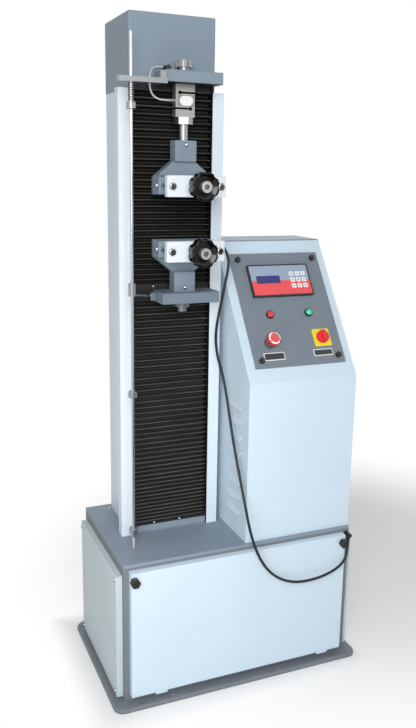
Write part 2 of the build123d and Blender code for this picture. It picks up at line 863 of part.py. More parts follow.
def grip_knob(center):
    """Scalloped hand knob, dished round its hub, with its spindle."""
    face_y = knob_back_y - hand_knob_height
    hub = hub_diameter / 2
    with BuildPart() as knob:
        with BuildSketch(Plane(origin=(axis_x, knob_back_y, center), x_dir=(1, 0, 0), z_dir=(0, -1, 0))):
            add(scalloped_sketch())
        extrude(amount=hand_knob_height)
        fillet(knob.faces().sort_by(Axis.Y)[0].outer_wire().edges(), hand_knob_front_edge)
        fillet(knob.faces().sort_by(Axis.Y)[-1].outer_wire().edges(), hand_knob_back_edge)
        with BuildSketch(Plane(origin=(axis_x, face_y, center), x_dir=(1, 0, 0), z_dir=(0, 0, 1))):
            with BuildLine():
                Polyline((hub, -hub_height), (knob_dish_radius, -hub_height), (knob_dish_radius, 0),
                         (hub, knob_dish_depth), close=True)
            make_face()
        revolve(axis=Axis((axis_x, face_y, center), (0, 1, 0)), mode=Mode.SUBTRACT)
        with BuildSketch(front_plane(face_y)):
            with Locations((axis_x, center)):
                Circle(hub)
        extrude(amount=hub_height)
        with BuildSketch(front_plane(face_y - hub_height)):
            with Locations((axis_x, center)):
                Circle(hub_bore / 2)
        extrude(amount=-hub_bore_depth, mode=Mode.SUBTRACT)
        with BuildSketch(front_plane(jaw_front_y + spindle_seat - part_gap)):
            with Locations((axis_x, center)):
                Circle(spindle_diameter / 2)
        extrude(amount=jaw_front_y + spindle_seat - part_gap - knob_back_y)
    return knob


upper_center = upper_nose + grip_center
lower_center = lower_nose - grip_center
upper_grip_body = grip_body(upper_nose, 1)
lower_grip_body = grip_body(lower_nose, -1)
upper_grip_jaw = grip_jaw(upper_nose, 1)
lower_grip_jaw = grip_jaw(lower_nose, -1)
upper_grip_yoke = grip_yoke(upper_center)
lower_grip_yoke = grip_yoke(lower_center)
upper_grip_bolts = grip_bolts(upper_center)
lower_grip_bolts = grip_bolts(lower_center)
upper_grip_knob = grip_knob(upper_center)
lower_grip_knob = grip_knob(lower_center)

# Crosshead plate, carriage and what guides and drives it
with BuildPart() as crosshead_plate:
    span_box(crosshead_left, plate_right, plate_front, carriage_front, crosshead_bottom, crosshead_top)
    span_box(column_x - column_half + crosshead_back_room, column_x + column_half - crosshead_back_room,
             bellows_front, carriage_front, crosshead_bottom, crosshead_top)
    chamfer(crosshead_plate.edges().group_by(Axis.Y)[0], plate_chamfer)
    rod(axis_x, axis_y, crosshead_bottom, crosshead_top, tie_bolt_diameter + 2 * shank_room, Mode.SUBTRACT)

with BuildPart() as carriage:
    span_box(column_x - carriage_width / 2, column_x + carriage_width / 2, carriage_front, carriage_back,
             crosshead_mid - carriage_height / 2, crosshead_mid + carriage_height / 2)
    chamfer(carriage.edges().filter_by(Axis.Z), carriage_chamfer)
    for side in (-1, 1):
        rod(column_x + side * rod_pitch / 2, rod_y,
            crosshead_mid - carriage_height, crosshead_mid + carriage_height,
            bushing_diameter + 2 * shank_room, Mode.SUBTRACT)
    rod(column_x, screw_y, crosshead_mid - carriage_height, crosshead_mid + carriage_height,
        nut_diameter + 2 * shank_room, Mode.SUBTRACT)

with BuildPart() as linear_bushings:
    for side in (-1, 1):
        x = column_x + side * rod_pitch / 2
        rod(x, rod_y, crosshead_mid - bushing_length / 2, crosshead_mid + bushing_length / 2,
            bushing_diameter)
        rod(x, rod_y, crosshead_mid - bushing_length / 2, crosshead_mid + bushing_length / 2,
            rod_diameter + 2 * running_fit, Mode.SUBTRACT)

with BuildPart() as screw_nut:
    nut_bottom = crosshead_mid - carriage_height / 2 - nut_flange_thickness
    rod(column_x, screw_y, nut_bottom, nut_bottom + nut_flange_thickness, nut_flange)
    rod(column_x, screw_y, nut_bottom, crosshead_mid + carriage_height / 2, nut_diameter)
    rod(column_x, screw_y, nut_bottom, crosshead_mid + carriage_height / 2,
        screw_diameter + 2 * running_fit, Mode.SUBTRACT)

with BuildPart() as trip_arm:
    eye_bottom = crosshead_top - trip_eye_drop
    rod(limit_x, limit_y, eye_bottom, eye_bottom + trip_eye_height, trip_eye)
    span_box(crosshead_left - trip_clamp_width, crosshead_left,
             trip_clamp_front, trip_clamp_front + trip_clamp_depth,
             crosshead_bottom + trip_clamp_inset, crosshead_top - trip_clamp_inset)
    chamfer(trip_arm.edges().filter_by(Axis.Z), trip_chamfer)
    arm_start = Vector(limit_x, limit_y, crosshead_top + trip_rod_rise)
    arm_end = Vector(crosshead_left - trip_clamp_width / 2, trip_clamp_front + trip_clamp_depth / 2,
                     crosshead_mid)
    with BuildSketch(Plane(origin=arm_start, z_dir=arm_end - arm_start)):
        Circle(trip_rod / 2)
    extrude(amount=(arm_end - arm_start).length)
    rod(limit_x, limit_y, crosshead_bottom, eye_bottom + trip_eye_height,
        limit_rod_diameter + 2 * running_fit, Mode.SUBTRACT)

# Limit rod with its collars, spring, guide bar and switch
guide_bar_bottom = slab_top - guide_bar_drop
guide_bar_top = guide_bar_bottom + guide_bar_thickness
spring_top = guide_bar_bottom - part_gap
spring_bottom = spring_top - spring_length
collar_bottoms = [spring_bottom - part_gap - limit_collar_height, lower_collar_z,
                  base_height + switch_bush_height + switch_stroke]

with BuildPart() as limit_rod:
    rod(limit_x, limit_y, frame_top - switch_stroke, limit_rod_top, limit_rod_diameter)
    chamfer(limit_rod.edges().filter_by(GeomType.CIRCLE), limit_rod_chamfer)

with BuildPart() as limit_collars:
    for z in collar_bottoms:
        rod(limit_x, limit_y, z, z + limit_collar_height, limit_collar)
    chamfer(limit_collars.edges().filter_by(GeomType.CIRCLE), limit_collar_chamfer)
    for z in collar_bottoms:
        rod(limit_x, limit_y, z, z + limit_collar_height, limit_rod_diameter + shank_room, Mode.SUBTRACT)

with BuildPart() as limit_spring:
    turns = int(spring_length / (2 * spring_wire))
    coil_pitch = spring_length / turns
    with BuildSketch(Plane(origin=(limit_x, limit_y, spring_bottom), x_dir=(1, 0, 0), z_dir=(0, -1, 0))):
        for index in range(turns):
            with Locations(((spring_outer - spring_wire) / 2, (index + 0.5) * coil_pitch)):
                Ellipse(spring_wire / 2, coil_pitch / 2)
        with Locations(((spring_outer - spring_wire) / 2, spring_length / 2)):
            Rectangle(spring_wire / 3, spring_length)
    revolve(axis=Axis((limit_x, limit_y, 0), (0, 0, 1)))

with BuildPart() as rod_guide_bar:
    span_box(limit_x - guide_bar_overhang, plate_left,
             limit_y - guide_bar_width / 2, limit_y + guide_bar_width / 2,
             guide_bar_bottom, guide_bar_top)
    chamfer(rod_guide_bar.faces().sort_by(Axis.X)[0].edges(), guide_bar_chamfer)
    span_box(plate_left - guide_foot_width, plate_left, plate_front, plate_front + guide_foot_depth,
             guide_bar_bottom, load_plate_top - guide_foot_inset)
    rod(limit_x, limit_y, guide_bar_bottom, guide_bar_top,
        limit_rod_diameter + 2 * running_fit, Mode.SUBTRACT)

with BuildPart() as limit_switch:
    rod(limit_x, limit_y, frame_top - switch_body_height / 2, base_height + switch_bush_height, switch_bush)
    span_box(limit_x - switch_body_width / 2, limit_x + switch_body_width / 2,
             limit_y - switch_body_width / 2, limit_y + switch_body_width / 2,
             frame_top - switch_body_height, frame_top)
    rod(limit_x, limit_y, frame_top - 2 * switch_stroke, base_height + switch_bush_height,
        limit_rod_diameter + 2 * running_fit, Mode.SUBTRACT)


def bellows(z0, z1, pleats):
    """Pleated cover: a zigzag front with a flat back, carried across the column's opening."""
    pitch = (z1 - z0) / pleats
    ridge = bellows_front
    valley = bellows_front + bellows_fold
    front = []
    for index in range(pleats):
        front += [(valley, z0 + index * pitch), (ridge, z0 + (index + 0.5) * pitch)]
    front.append((valley, z1))
    back = bellows_front + bellows_depth
    half = column_half - bellows_side_gap
    with BuildPart() as cover:
        with BuildSketch(Plane.YZ.offset(column_x - half)):
            with BuildLine():
                Polyline(*front, (back, z1), (back, z0), close=True)
            make_face()
        extrude(amount=2 * half)
    return cover


bellows_upper = bellows(crosshead_top + bellows_gap, column_top, upper_pleat_count)
bellows_lower = bellows(base_height, crosshead_bottom - bellows_gap, lower_pleat_count)

# Console housing with pressed louvres in its left wall
lid_bottom = console_top - lid_thickness
with BuildPart() as console_shell:
    with BuildSketch(Plane.YZ.offset(console_left)):
        with BuildLine():
            Polyline((console_front, base_height), (console_front, console_knee),
                     (console_top_front - lid_thickness / math.tan(slant_angle), lid_bottom),
                     (console_back, lid_bottom), (console_back, base_height), close=True)
        make_face()
    extrude(amount=console_right - console_left)
    ends = console_shell.faces().filter_by(Axis.Z)
    offset(amount=-sheet, openings=ends)
    with BuildSketch(slant_plane(sheet)):
        with Locations((control_mid_x, control_mid_v)):
            Rectangle(control_right - control_left - 2 * thumb_inset, control_length - 2 * thumb_inset)
    extrude(amount=-3 * sheet, mode=Mode.SUBTRACT)
    for index in range(louvre_count):
        louvre_z = louvre_first + index * louvre_pitch
        span_box(console_left - sheet, console_left + 2 * sheet, louvre_y - louvre_width / 2,
                 louvre_y + louvre_width / 2, louvre_z, louvre_z + louvre_slot, Mode.SUBTRACT)
        with BuildSketch(Plane.XZ.offset(-louvre_y - louvre_width / 2)):
            with BuildLine():
                Polyline((console_left, louvre_z + louvre_slot + louvre_hood),
                         (console_left, louvre_z + louvre_slot),
                         (console_left - louvre_hood + sheet, louvre_z),
                         (console_left - louvre_hood, louvre_z),
                         close=True)
            make_face()
        extrude(amount=louvre_width)

with BuildPart() as console_lid:
    span_box(console_left, console_right, console_top_front, console_back, lid_bottom, console_top)
    chamfer(console_lid.faces().sort_by(Axis.Z)[-1].edges(), lid_thickness / 3)

# Control plate on the sloping face, with its fittings
thumb_places = [(x, v) for x in (control_left + thumb_inset, control_right - thumb_inset)
                for v in (control_bottom + thumb_inset, control_bottom + control_length - thumb_inset)]
lamp_places = [(lamp_left_x, lamp_v), (lamp_right_x, lamp_v)]

with BuildPart() as control_plate:
    with BuildSketch(slant_plane(0)):
        with Locations((control_mid_x, control_mid_v)):
            RectangleRounded(control_right - control_left, control_length, control_corner)
        with Locations(*thumb_places):
            Circle(thumb_stud / 2 + shank_room, mode=Mode.SUBTRACT)
        with Locations(*lamp_places):
            Circle(lamp_hole / 2 + shank_room, mode=Mode.SUBTRACT)
        with Locations((estop_x, estop_v)):
            Circle(estop_stem / 2 + 2 * sheet + shank_room, mode=Mode.SUBTRACT)
        with Locations((selector_x, selector_v)):
            Circle(selector_stem / 2 + running_fit, mode=Mode.SUBTRACT)
        with Locations((display_x, display_v)):
            Rectangle(display_width - 4 * display_rim, display_height - 4 * display_rim, mode=Mode.SUBTRACT)
    extrude(amount=control_thickness)

with BuildPart() as plate_thumb_screws:
    with BuildSketch(slant_plane(control_thickness)):
        with Locations(*thumb_places):
            Circle(thumb_diameter / 2)
        for x, v in thumb_places:
            with Locations((x, v)):
                with PolarLocations(thumb_diameter / 2, thumb_flutes):
                    Circle(thumb_flute / 2, mode=Mode.SUBTRACT)
    extrude(amount=thumb_height)
    with BuildSketch(slant_plane(0)):
        with Locations(*thumb_places):
            Circle(thumb_stud / 2)
    extrude(amount=control_thickness)

with BuildPart() as display_unit:
    with BuildSketch(slant_plane(control_thickness)):
        with Locations((display_x, display_v)):
            RectangleRounded(display_width, display_height, display_rim / 2)
    extrude(amount=display_thickness)
    with BuildSketch(slant_plane(control_thickness + display_thickness)):
        with Locations((display_x, display_v)):
            Rectangle(display_width - 2 * display_rim, display_height - 2 * display_rim)
    extrude(amount=-display_recess, mode=Mode.SUBTRACT)
    with BuildSketch(slant_plane(control_thickness)):
        with Locations((display_x, display_v)):
            Rectangle(display_width - 4 * display_rim - 2 * part_gap,
                      display_height - 4 * display_rim - 2 * part_gap)
    extrude(amount=-display_body_depth)

with BuildPart() as pilot_lamps:
    for radius, height in ((lamp_bezel / 2, lamp_bezel_height), (lamp_lens / 2, lamp_lens_height)):
        with BuildSketch(slant_plane(control_thickness)):
            with Locations(*lamp_places):
                Circle(radius)
        extrude(amount=height)
    with BuildSketch(slant_plane(control_thickness)):
        with Locations(*lamp_places):
            Circle(lamp_hole / 2)
    extrude(amount=-control_thickness - fitting_depth)

with BuildPart() as estop_collar:
    with BuildSketch(slant_plane(control_thickness)):
        with Locations((estop_x, estop_v)):
            Circle(estop_collar_diameter / 2)
            Circle(estop_stem / 2 + running_fit, mode=Mode.SUBTRACT)
    extrude(amount=estop_collar_height, taper=estop_collar_taper)
    with BuildSketch(slant_plane(control_thickness)):
        with Locations((estop_x, estop_v)):
            Circle(estop_stem / 2 + 2 * sheet)
            Circle(estop_stem / 2 + running_fit, mode=Mode.SUBTRACT)
    extrude(amount=-control_thickness - 2 * fitting_depth)

with BuildPart() as estop_head:
    head_base = control_thickness + estop_collar_height + estop_stroke
    with BuildSketch(slant_plane(head_base)):
        with Locations((estop_x, estop_v)):
            Circle(estop_head_diameter / 2)
    extrude(amount=estop_head_height)
    rims = estop_head.edges().filter_by(GeomType.CIRCLE).sort_by(Axis((0, 0, 0), slant_normal))
    fillet(rims[-1], estop_head_edge)
    with BuildSketch(slant_plane(head_base)):
        with Locations((estop_x, estop_v)):
            Circle(estop_stem / 2)
    extrude(amount=-estop_collar_height - estop_stroke - control_thickness - fitting_depth)

with BuildPart() as selector_handle:
    with BuildSketch(slant_plane(control_thickness + selector_plate_room)):
        with Locations((selector_x, selector_v)):
            Circle(selector_skirt / 2)
    extrude(amount=selector_height / 2)
    with BuildSketch(slant_plane(control_thickness + selector_plate_room)):
        with Locations((selector_x, selector_v)):
            SlotOverall(selector_base, selector_grip_width, rotation=90)
    extrude(amount=selector_height)
    with BuildSketch(slant_plane(control_thickness + selector_plate_room)):
        with Locations((selector_x, selector_v)):
            Circle(selector_stem / 2)
    extrude(amount=-control_thickness - selector_plate_room - fitting_depth)


def gland(x, surface_y, z, body_diameter, nipple_diameter, outlet):
    """Elbow cable gland: a round body off a front surface and a nipple that points along outlet."""
    nipple_y = surface_y - gland_length + gland_nipple_back
    way = Vector(*outlet)
    with BuildSketch(front_plane(surface_y)) as body:
        with Locations((x, z)):
            Circle(body_diameter / 2)
    extrude(body.sketch, amount=gland_length)
    with BuildSketch(Plane(origin=(x, nipple_y, z), z_dir=outlet)) as nipple:
        Circle(nipple_diameter / 2)
    extrude(nipple.sketch, amount=body_diameter / 2 + gland_nipple_reach)
    return Vector(x, nipple_y, z) + way * (body_diameter / 2 + gland_nipple_reach)


lean = math.radians(strip_gland_lean)

with BuildPart() as cable_glands:
    signal_start = gland(strip_gland_x, column_front, strip_gland_z, gland_diameter, gland_nipple,
                         (math.sin(lean), 0, -math.cos(lean)))
    signal_end = gland(frame_gland_x, frame_front, frame_gland_z, gland_diameter, gland_nipple, (0, 0, -1))
    cell_end = gland(head_gland_x, head_front, head_gland_z, head_gland_diameter, head_gland_nipple,
                     (-1, 0, 0))


def cord(name, points, diameter):
    """Round cable along straight runs joined by the largest arcs that the runs allow."""
    corners = [Vector(*point) for point in points]
    radii = []
    for before, here, after in zip(corners, corners[1:], corners[2:]):
        turn = math.radians((here - before).get_angle(after - here))
        shorter = min((here - before).length, (after - here).length)
        radii.append(bend_share * shorter / math.tan(turn / 2))
    with BuildPart() as cable:
        with BuildLine() as route:
            FilletPolyline(*corners, radius=radii)
        with BuildSketch(Plane(origin=route.line @ 0, z_dir=route.line % 0)):
            Circle(diameter / 2)
        sweep()
    length = sum(edge.length for edge in route.edges())
    section = math.pi * diameter ** 2 / 4
    print(name, "length", round(length), "radii", [round(radius) for radius in radii])
    print(name, "runs", [round((b - a).length) for a, b in zip(corners, corners[1:])],
          "volume over section times length", round(cable.part.volume / section / length, 4))
    return cable


# Signal cable from the column's right flange down to the cabinet's front corner
signal_cable = cord("signal_cable", [
    signal_start, (0.4, -48, 1265.8), (6, -50.5, 1245), (4.5, -54, 1221), (-4, -58, 1191), (-12, -61, 1156),
    (-20, -61, 1117), (-27.5, -59, 1077), (-31.5, -55, 1037), (-30, -53, 999), (-23, -53, 960),
    (-11, -57, 917), (-4, -68, 873),
    (-3, -88, 823), (-3, -115, 760), (-4, -152, 690), (-4, -191, 622), (-3, -225, 560), (4, -242, 497),
    (22, -248, 432), (57, -249, 366), (102, -248, 325), (148, -247, 304), (196, -247, 298), (255, -247, 303),
    (308, -245, 320), (338, -238, 344), (frame_gland_x, -225, 374), signal_end], signal_cable_diameter)

# Load cell cable, looped round the load plate's left edge to the head
cell_start = Vector(axis_x - cell_width / 2 - connector_length, axis_y, cell_bottom + cell_height / 2)
load_cell_cable = cord("load_cell_cable", [
    cell_start, (-193, -58, 1670), (-209, -59, 1671), (-225, -61, 1679), (-234, -64, 1695), (-236, -66, 1715),
    (-234, -64, 1734), (-225, -57, 1749), (-209, -51, head_gland_z), cell_end], cell_cable_diameter)

pieces = {
    "base_frame": base_frame, "base_top_plate": base_top_plate, "left_side_panel": left_side_panel,
    "right_side_panel": right_side_panel, "base_back_panel": base_back_panel, "panel_screws": panel_screws,
    "front_cover": front_cover, "cover_knob_left": cover_knob_left, "cover_knob_right": cover_knob_right,
    "column_profile": column_profile, "column_top_plate": column_top_plate, "head_cover": head_cover,
    "guide_rods": guide_rods, "ball_screw": ball_screw, "lower_bearing_block": lower_bearing_block,
    "upper_bearing_block": upper_bearing_block, "screw_pulley": screw_pulley, "motor_pulley": motor_pulley,
    "timing_belt": timing_belt, "drive_motor": drive_motor, "motor_bracket": motor_bracket,
    "load_plate": load_plate, "load_plate_bolt": load_plate_bolt, "load_cell": load_cell,
    "load_stud": load_stud, "load_cell_cable": load_cell_cable, "upper_grip_body": upper_grip_body,
    "upper_grip_jaw": upper_grip_jaw, "upper_grip_yoke": upper_grip_yoke, "upper_grip_bolts": upper_grip_bolts,
    "upper_grip_knob": upper_grip_knob, "lower_grip_body": lower_grip_body, "lower_grip_jaw": lower_grip_jaw,
    "lower_grip_yoke": lower_grip_yoke, "lower_grip_bolts": lower_grip_bolts,
    "lower_grip_knob": lower_grip_knob,
    "crosshead_plate": crosshead_plate, "crosshead_bolt": crosshead_bolt, "carriage": carriage,
    "linear_bushings": linear_bushings, "screw_nut": screw_nut, "trip_arm": trip_arm, "limit_rod": limit_rod,
    "limit_collars": limit_collars, "limit_spring": limit_spring, "rod_guide_bar": rod_guide_bar,
    "limit_switch": limit_switch, "bellows_upper": bellows_upper, "bellows_lower": bellows_lower,
    "console_shell": console_shell, "console_lid": console_lid, "control_plate": control_plate,
    "plate_thumb_screws": plate_thumb_screws, "display_unit": display_unit, "pilot_lamps": pilot_lamps,
    "estop_collar": estop_collar, "estop_head": estop_head, "selector_handle": selector_handle,
    "signal_cable": signal_cable, "cable_glands": cable_glands,
}
for name, piece in pieces.items():
    piece.part.label = name
    export_step(piece.part, f"parts/{name}.step")
print(len(pieces), "pieces written")
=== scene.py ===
# %% [markdown]
# A tensile testing machine, dressed for the camera. The rigid frame comes from the CAD model and is never
# moved. This lesson adds finishes, cables, bellows and the small trim that a CAD model leaves plain.

# %% Load the frame
import math

import bmesh
import bpy
import numpy as np
from mathutils import Matrix, Vector


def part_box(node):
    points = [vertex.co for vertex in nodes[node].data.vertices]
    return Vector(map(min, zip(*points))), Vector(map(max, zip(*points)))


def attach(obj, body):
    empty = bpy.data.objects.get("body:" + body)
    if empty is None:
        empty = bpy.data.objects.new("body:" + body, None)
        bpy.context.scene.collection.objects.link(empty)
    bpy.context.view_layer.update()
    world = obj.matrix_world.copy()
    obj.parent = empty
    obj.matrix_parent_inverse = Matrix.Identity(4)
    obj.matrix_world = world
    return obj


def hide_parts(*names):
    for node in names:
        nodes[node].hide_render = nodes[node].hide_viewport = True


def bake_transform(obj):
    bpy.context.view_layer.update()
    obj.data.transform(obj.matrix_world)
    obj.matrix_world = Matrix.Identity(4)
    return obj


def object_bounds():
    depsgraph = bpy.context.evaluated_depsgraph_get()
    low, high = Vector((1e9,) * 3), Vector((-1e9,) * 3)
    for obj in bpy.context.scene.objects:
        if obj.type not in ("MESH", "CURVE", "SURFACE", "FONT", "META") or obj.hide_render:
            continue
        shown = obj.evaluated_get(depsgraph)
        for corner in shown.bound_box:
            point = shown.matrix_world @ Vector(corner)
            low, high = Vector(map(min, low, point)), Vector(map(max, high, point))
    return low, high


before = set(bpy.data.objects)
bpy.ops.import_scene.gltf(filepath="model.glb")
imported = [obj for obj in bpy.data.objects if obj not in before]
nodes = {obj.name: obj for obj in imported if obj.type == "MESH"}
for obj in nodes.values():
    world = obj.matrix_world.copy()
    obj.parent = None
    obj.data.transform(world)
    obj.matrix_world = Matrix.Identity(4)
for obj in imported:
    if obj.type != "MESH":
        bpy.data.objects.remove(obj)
cad_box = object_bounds()
mm = 0.001

# %% [markdown]
# The photograph was taken a little above the console, from the front left. A camera could be aimed by a
# constraint, but that leaves no roll. A camera is three directions and a place, so its matrix is written
# straight from yaw, pitch and roll. The shift puts the lens axis where the photograph has it, since the
# picture was cropped off centre.

# %% Camera
photo_width, photo_height = 416, 728
camera_place = (-0.917, -2.1226, 1.484)
yaw, pitch, roll = (math.radians(angle) for angle in (23.5385, 12.9755, 1.1117))
focal_px, axis_px, axis_py = 791.97, 220.2, 356.04
forward = Vector((math.sin(yaw) * math.cos(pitch), math.cos(yaw) * math.cos(pitch), -math.sin(pitch)))
level = Vector((math.cos(yaw), -math.sin(yaw), 0))
upright = level.cross(forward)
right = level * math.cos(roll) + upright * math.sin(roll)
up = upright * math.cos(roll) - level * math.sin(roll)
lens = bpy.data.cameras.new("photo_camera")
lens.sensor_fit = "VERTICAL"
lens.sensor_height = 36
lens.lens = focal_px / photo_height * lens.sensor_height
lens.shift_x = -(axis_px - photo_width / 2) / photo_height
lens.shift_y = (axis_py - photo_height / 2) / photo_height
camera = bpy.data.objects.new("photo_camera", lens)
turn = Matrix((right, up, -forward)).transposed()
camera.matrix_world = Matrix.Translation(camera_place) @ turn.to_4x4()
bpy.context.collection.objects.link(camera)
bpy.context.scene.camera = camera
print("lens", round(lens.lens, 2), "mm")

# %% [markdown]
# Paint, metal and cloth all need sums on sockets, and a sum made node by node takes several lines. A small
# class that wraps a socket lets shader maths be plain expressions: `1 - mask` adds its own Math node.

# %% Sums on sockets
class Value:
    """A socket that takes part in arithmetic; each operation adds one Math node."""

    def __init__(self, graph, socket):
        self.graph, self.socket = graph, socket

    def math(self, operation, a, b=0.0):
        """One Math node on a and b."""
        return self.graph.node("ShaderNodeMath", {"operation": operation}, {0: a, 1: b})

    def __add__(self, other):
        return self.math("ADD", self, other)

    def __radd__(self, other):
        return self.math("ADD", other, self)

    def __sub__(self, other):
        return self.math("SUBTRACT", self, other)

    def __rsub__(self, other):
        return self.math("SUBTRACT", other, self)

    def __mul__(self, other):
        return self.math("MULTIPLY", self, other)

    def __rmul__(self, other):
        return self.math("MULTIPLY", other, self)

    def __gt__(self, other):
        return self.math("GREATER_THAN", self, other)

    def __lt__(self, other):
        return self.math("LESS_THAN", self, other)

    def root(self):
        return self.math("SQRT", self)

    def sine(self):
        return self.math("SINE", self)

    def size(self):
        return self.math("ABSOLUTE", self)

    def most(self, other):
        return self.math("MAXIMUM", self, other)

    def least(self, other):
        return self.math("MINIMUM", self, other)

    def turn_from(self, other):
        return self.math("ARCTAN2", self, other)


print("sockets take part in sums")

# %% [markdown]
# A material is a tree of nodes, and one method adds any node with its settings and inputs. Each finish is
# such a tree on Object coordinates. A UV map would have to be unwrapped for every piece; Object coordinates
# need none, and a pattern on them keeps its size on every piece and stays put when the piece moves.

# %% Node trees and finishes
def rgb(code):
    """Linear colour of a six-digit screen colour: a straight line near black and a power of 2.4 above it."""
    screen = [int(code[i:i + 2], 16) / 255 for i in (1, 3, 5)]
    return tuple(c / 12.92 if c <= 0.04045 else ((c + 0.055) / 1.055) ** 2.4 for c in screen) + (1.0,)


class Graph:
    """A node tree, with one method that adds any node to it."""

    def __init__(self, tree):
        self.tree = tree

    def node(self, kind, settings=None, inputs=None, output=0):
        """Any node: its settings first, then values or links for its sockets."""
        made = self.tree.nodes.new(kind)
        for key, value in (settings or {}).items():
            setattr(made, key, value)
        for key, value in (inputs or {}).items():
            if isinstance(value, Value):
                self.tree.links.new(value.socket, made.inputs[key])
            else:
                made.inputs[key].default_value = value
        return Value(self, made.outputs[output])

    def seen(self):
        """1 for rays that show a background itself: from the camera, off gloss or through glass."""
        kinds = ("Is Camera Ray", "Is Glossy Ray", "Is Transmission Ray")
        straight, gloss, glass = (self.node("ShaderNodeLightPath", output=kind) for kind in kinds)
        return straight.most(gloss).most(glass)


class Finish(Graph):
    """One procedural material on Object coordinates."""

    def __init__(self, name, **constants):
        self.material = bpy.data.materials.new(name)
        self.material.use_nodes = True
        super().__init__(self.material.node_tree)
        self.shader = self.tree.nodes["Principled BSDF"]
        for socket, value in constants.items():
            self.shader.inputs[socket.replace("_", " ")].default_value = value
        self.place = self.node("ShaderNodeTexCoord", output="Object")

    def noise(self, scale, detail=3.0, stretch=(1, 1, 1)):
        """Noise of the place, whose three coordinates are first multiplied by the stretch."""
        spread = self.node("ShaderNodeVectorMath", {"operation": "MULTIPLY"}, {0: self.place, 1: stretch})
        return self.node("ShaderNodeTexNoise", None, {"Vector": spread, "Scale": scale, "Detail": detail})

    def along(self, direction, start=(0, 0, 0)):
        """Distance from a start along a direction: the place's dot product with it, less the start's."""
        reach = self.node("ShaderNodeVectorMath", {"operation": "DOT_PRODUCT"},
                          {0: self.place, 1: tuple(direction)}, output="Value")
        return reach - Vector(direction).dot(Vector(start))

    def ramp(self, value, low, high):
        """0 below low, 1 above high and a smooth step between them."""
        smooth = {"interpolation_type": "SMOOTHSTEP"}
        return self.node("ShaderNodeMapRange", smooth, {0: value, 1: low, 2: high})

    def mix(self, share, low, high):
        """The low colour where the share is 0 and the high colour where it is 1."""
        return self.node("ShaderNodeMix", {"data_type": "RGBA"}, {0: share, 6: low, 7: high}, output=2)

    def feed(self, socket, value):
        """Links a value to a socket of the shader."""
        self.tree.links.new(value.socket, self.shader.inputs[socket])
        return self

    def bump(self, height, distance, strength=0.5):
        """Tilts the surface by the slope of a height, which 1 raises by the distance."""
        relief = {"Strength": strength, "Distance": distance, "Height": height}
        return self.feed("Normal", self.node("ShaderNodeBump", None, relief))


print("finishes read Object coordinates")

# %% [markdown]
# A black signal cable and a grey load cell cable hang on the machine. They come before its other pieces,
# since they set how far the model reaches. A mesh tube would need many rings to look soft. Each cable is one
# NURBS curve through the same points as its CAD tube, which gives the line of a cable hung from two glands.

# %% Cables
def jacket(name, colour, scuffed, rough):
    """Extruded cable jacket: one noise of scuffs mixes two colours, roughens the skin and raises it."""
    finish = Finish(name, Specular_IOR_Level=0.4)
    scuff = finish.noise(scale=180, detail=4)
    finish.feed("Base Color", finish.mix(scuff * 0.3, rgb(colour), rgb(scuffed)))
    finish.feed("Roughness", rough + scuff * 0.15)
    return finish.bump(scuff, distance=0.1 * mm)


def cable(name, route, diameter, finish):
    """A round NURBS tube through the route, in place of the CAD node of the same name."""
    curve = bpy.data.curves.new(name, "CURVE")
    curve.dimensions = "3D"
    curve.bevel_depth = diameter / 2
    curve.bevel_resolution = 4
    curve.resolution_u = 12
    line = curve.splines.new("NURBS")
    line.points.add(len(route) - 1)
    line.points.foreach_set("co", np.c_[np.array(route) * mm, np.ones(len(route))].ravel())
    line.order_u = 3
    line.use_endpoint_u = True
    curve.materials.append(finish.material)
    piece = bpy.data.objects.new(name + "_jacket", curve)
    bpy.context.collection.objects.link(piece)
    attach(piece, "frame")
    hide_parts(name)
    print(name, "points", len(route))


signal_route = [
    (-9.97, -48, 1280.53), (0.4, -48, 1265.8), (6, -50.5, 1245), (4.5, -54, 1221), (-4, -58, 1191),
    (-12, -61, 1156), (-20, -61, 1117), (-27.5, -59, 1077), (-31.5, -55, 1037), (-30, -53, 999),
    (-23, -53, 960), (-11, -57, 917), (-4, -68, 873), (-3, -88, 823), (-3, -115, 760), (-4, -152, 690),
    (-4, -191, 622), (-3, -225, 560), (4, -242, 497), (22, -248, 432), (57, -249, 366), (102, -248, 325),
    (148, -247, 304), (196, -247, 298), (255, -247, 303), (308, -245, 320), (338, -238, 344),
    (350, -225, 374), (350, -225, 398)]
cell_route = [
    (-177, -58, 1670), (-193, -58, 1670), (-209, -59, 1671), (-225, -61, 1679), (-234, -64, 1695),
    (-236, -66, 1715), (-234, -64, 1734), (-225, -57, 1749), (-209, -51, 1753), (-194, -51, 1753)]
signal_diameter, signal_length, cell_diameter, cell_length = 8 * mm, 1.347, 5 * mm, 0.157
signal_jacket = jacket("signal_jacket", "#0D0D0E", "#4A4A4A", rough=0.36)
cell_jacket = jacket("cell_jacket", "#C3C8CC", "#8A8A88", rough=0.36)
cable("signal_cable", signal_route, signal_diameter, signal_jacket)
cable("load_cell_cable", cell_route, cell_diameter, cell_jacket)

# %% [markdown]
# The studio is a white sheet that runs off into a white surround. More light would whiten it, but would
# bleach the machine as well. Light Path tells the rays that show the background from those that light the
# machine, so the white costs no extra light. Close to the plinth the floor is plain paint and keeps the
# machine's shadow, and further off it fades into the surround.

# %% Studio
world = bpy.data.worlds.new("studio")
bpy.context.scene.world = world
world.use_nodes = True
sky = Graph(world.node_tree)
plain_white, cool_white, fill_strength = (1.0, 1.0, 1.0, 1.0), (0.95, 0.97, 1.0, 1.0), 0.32
fill = sky.node("ShaderNodeBackground", None, {"Color": cool_white, "Strength": fill_strength})
white = sky.node("ShaderNodeBackground", None, {"Color": plain_white, "Strength": 1.0})
both = sky.node("ShaderNodeMixShader", None, {0: sky.seen(), 1: fill, 2: white})
sky.tree.links.new(both.socket, sky.tree.nodes["World Output"].inputs["Surface"])

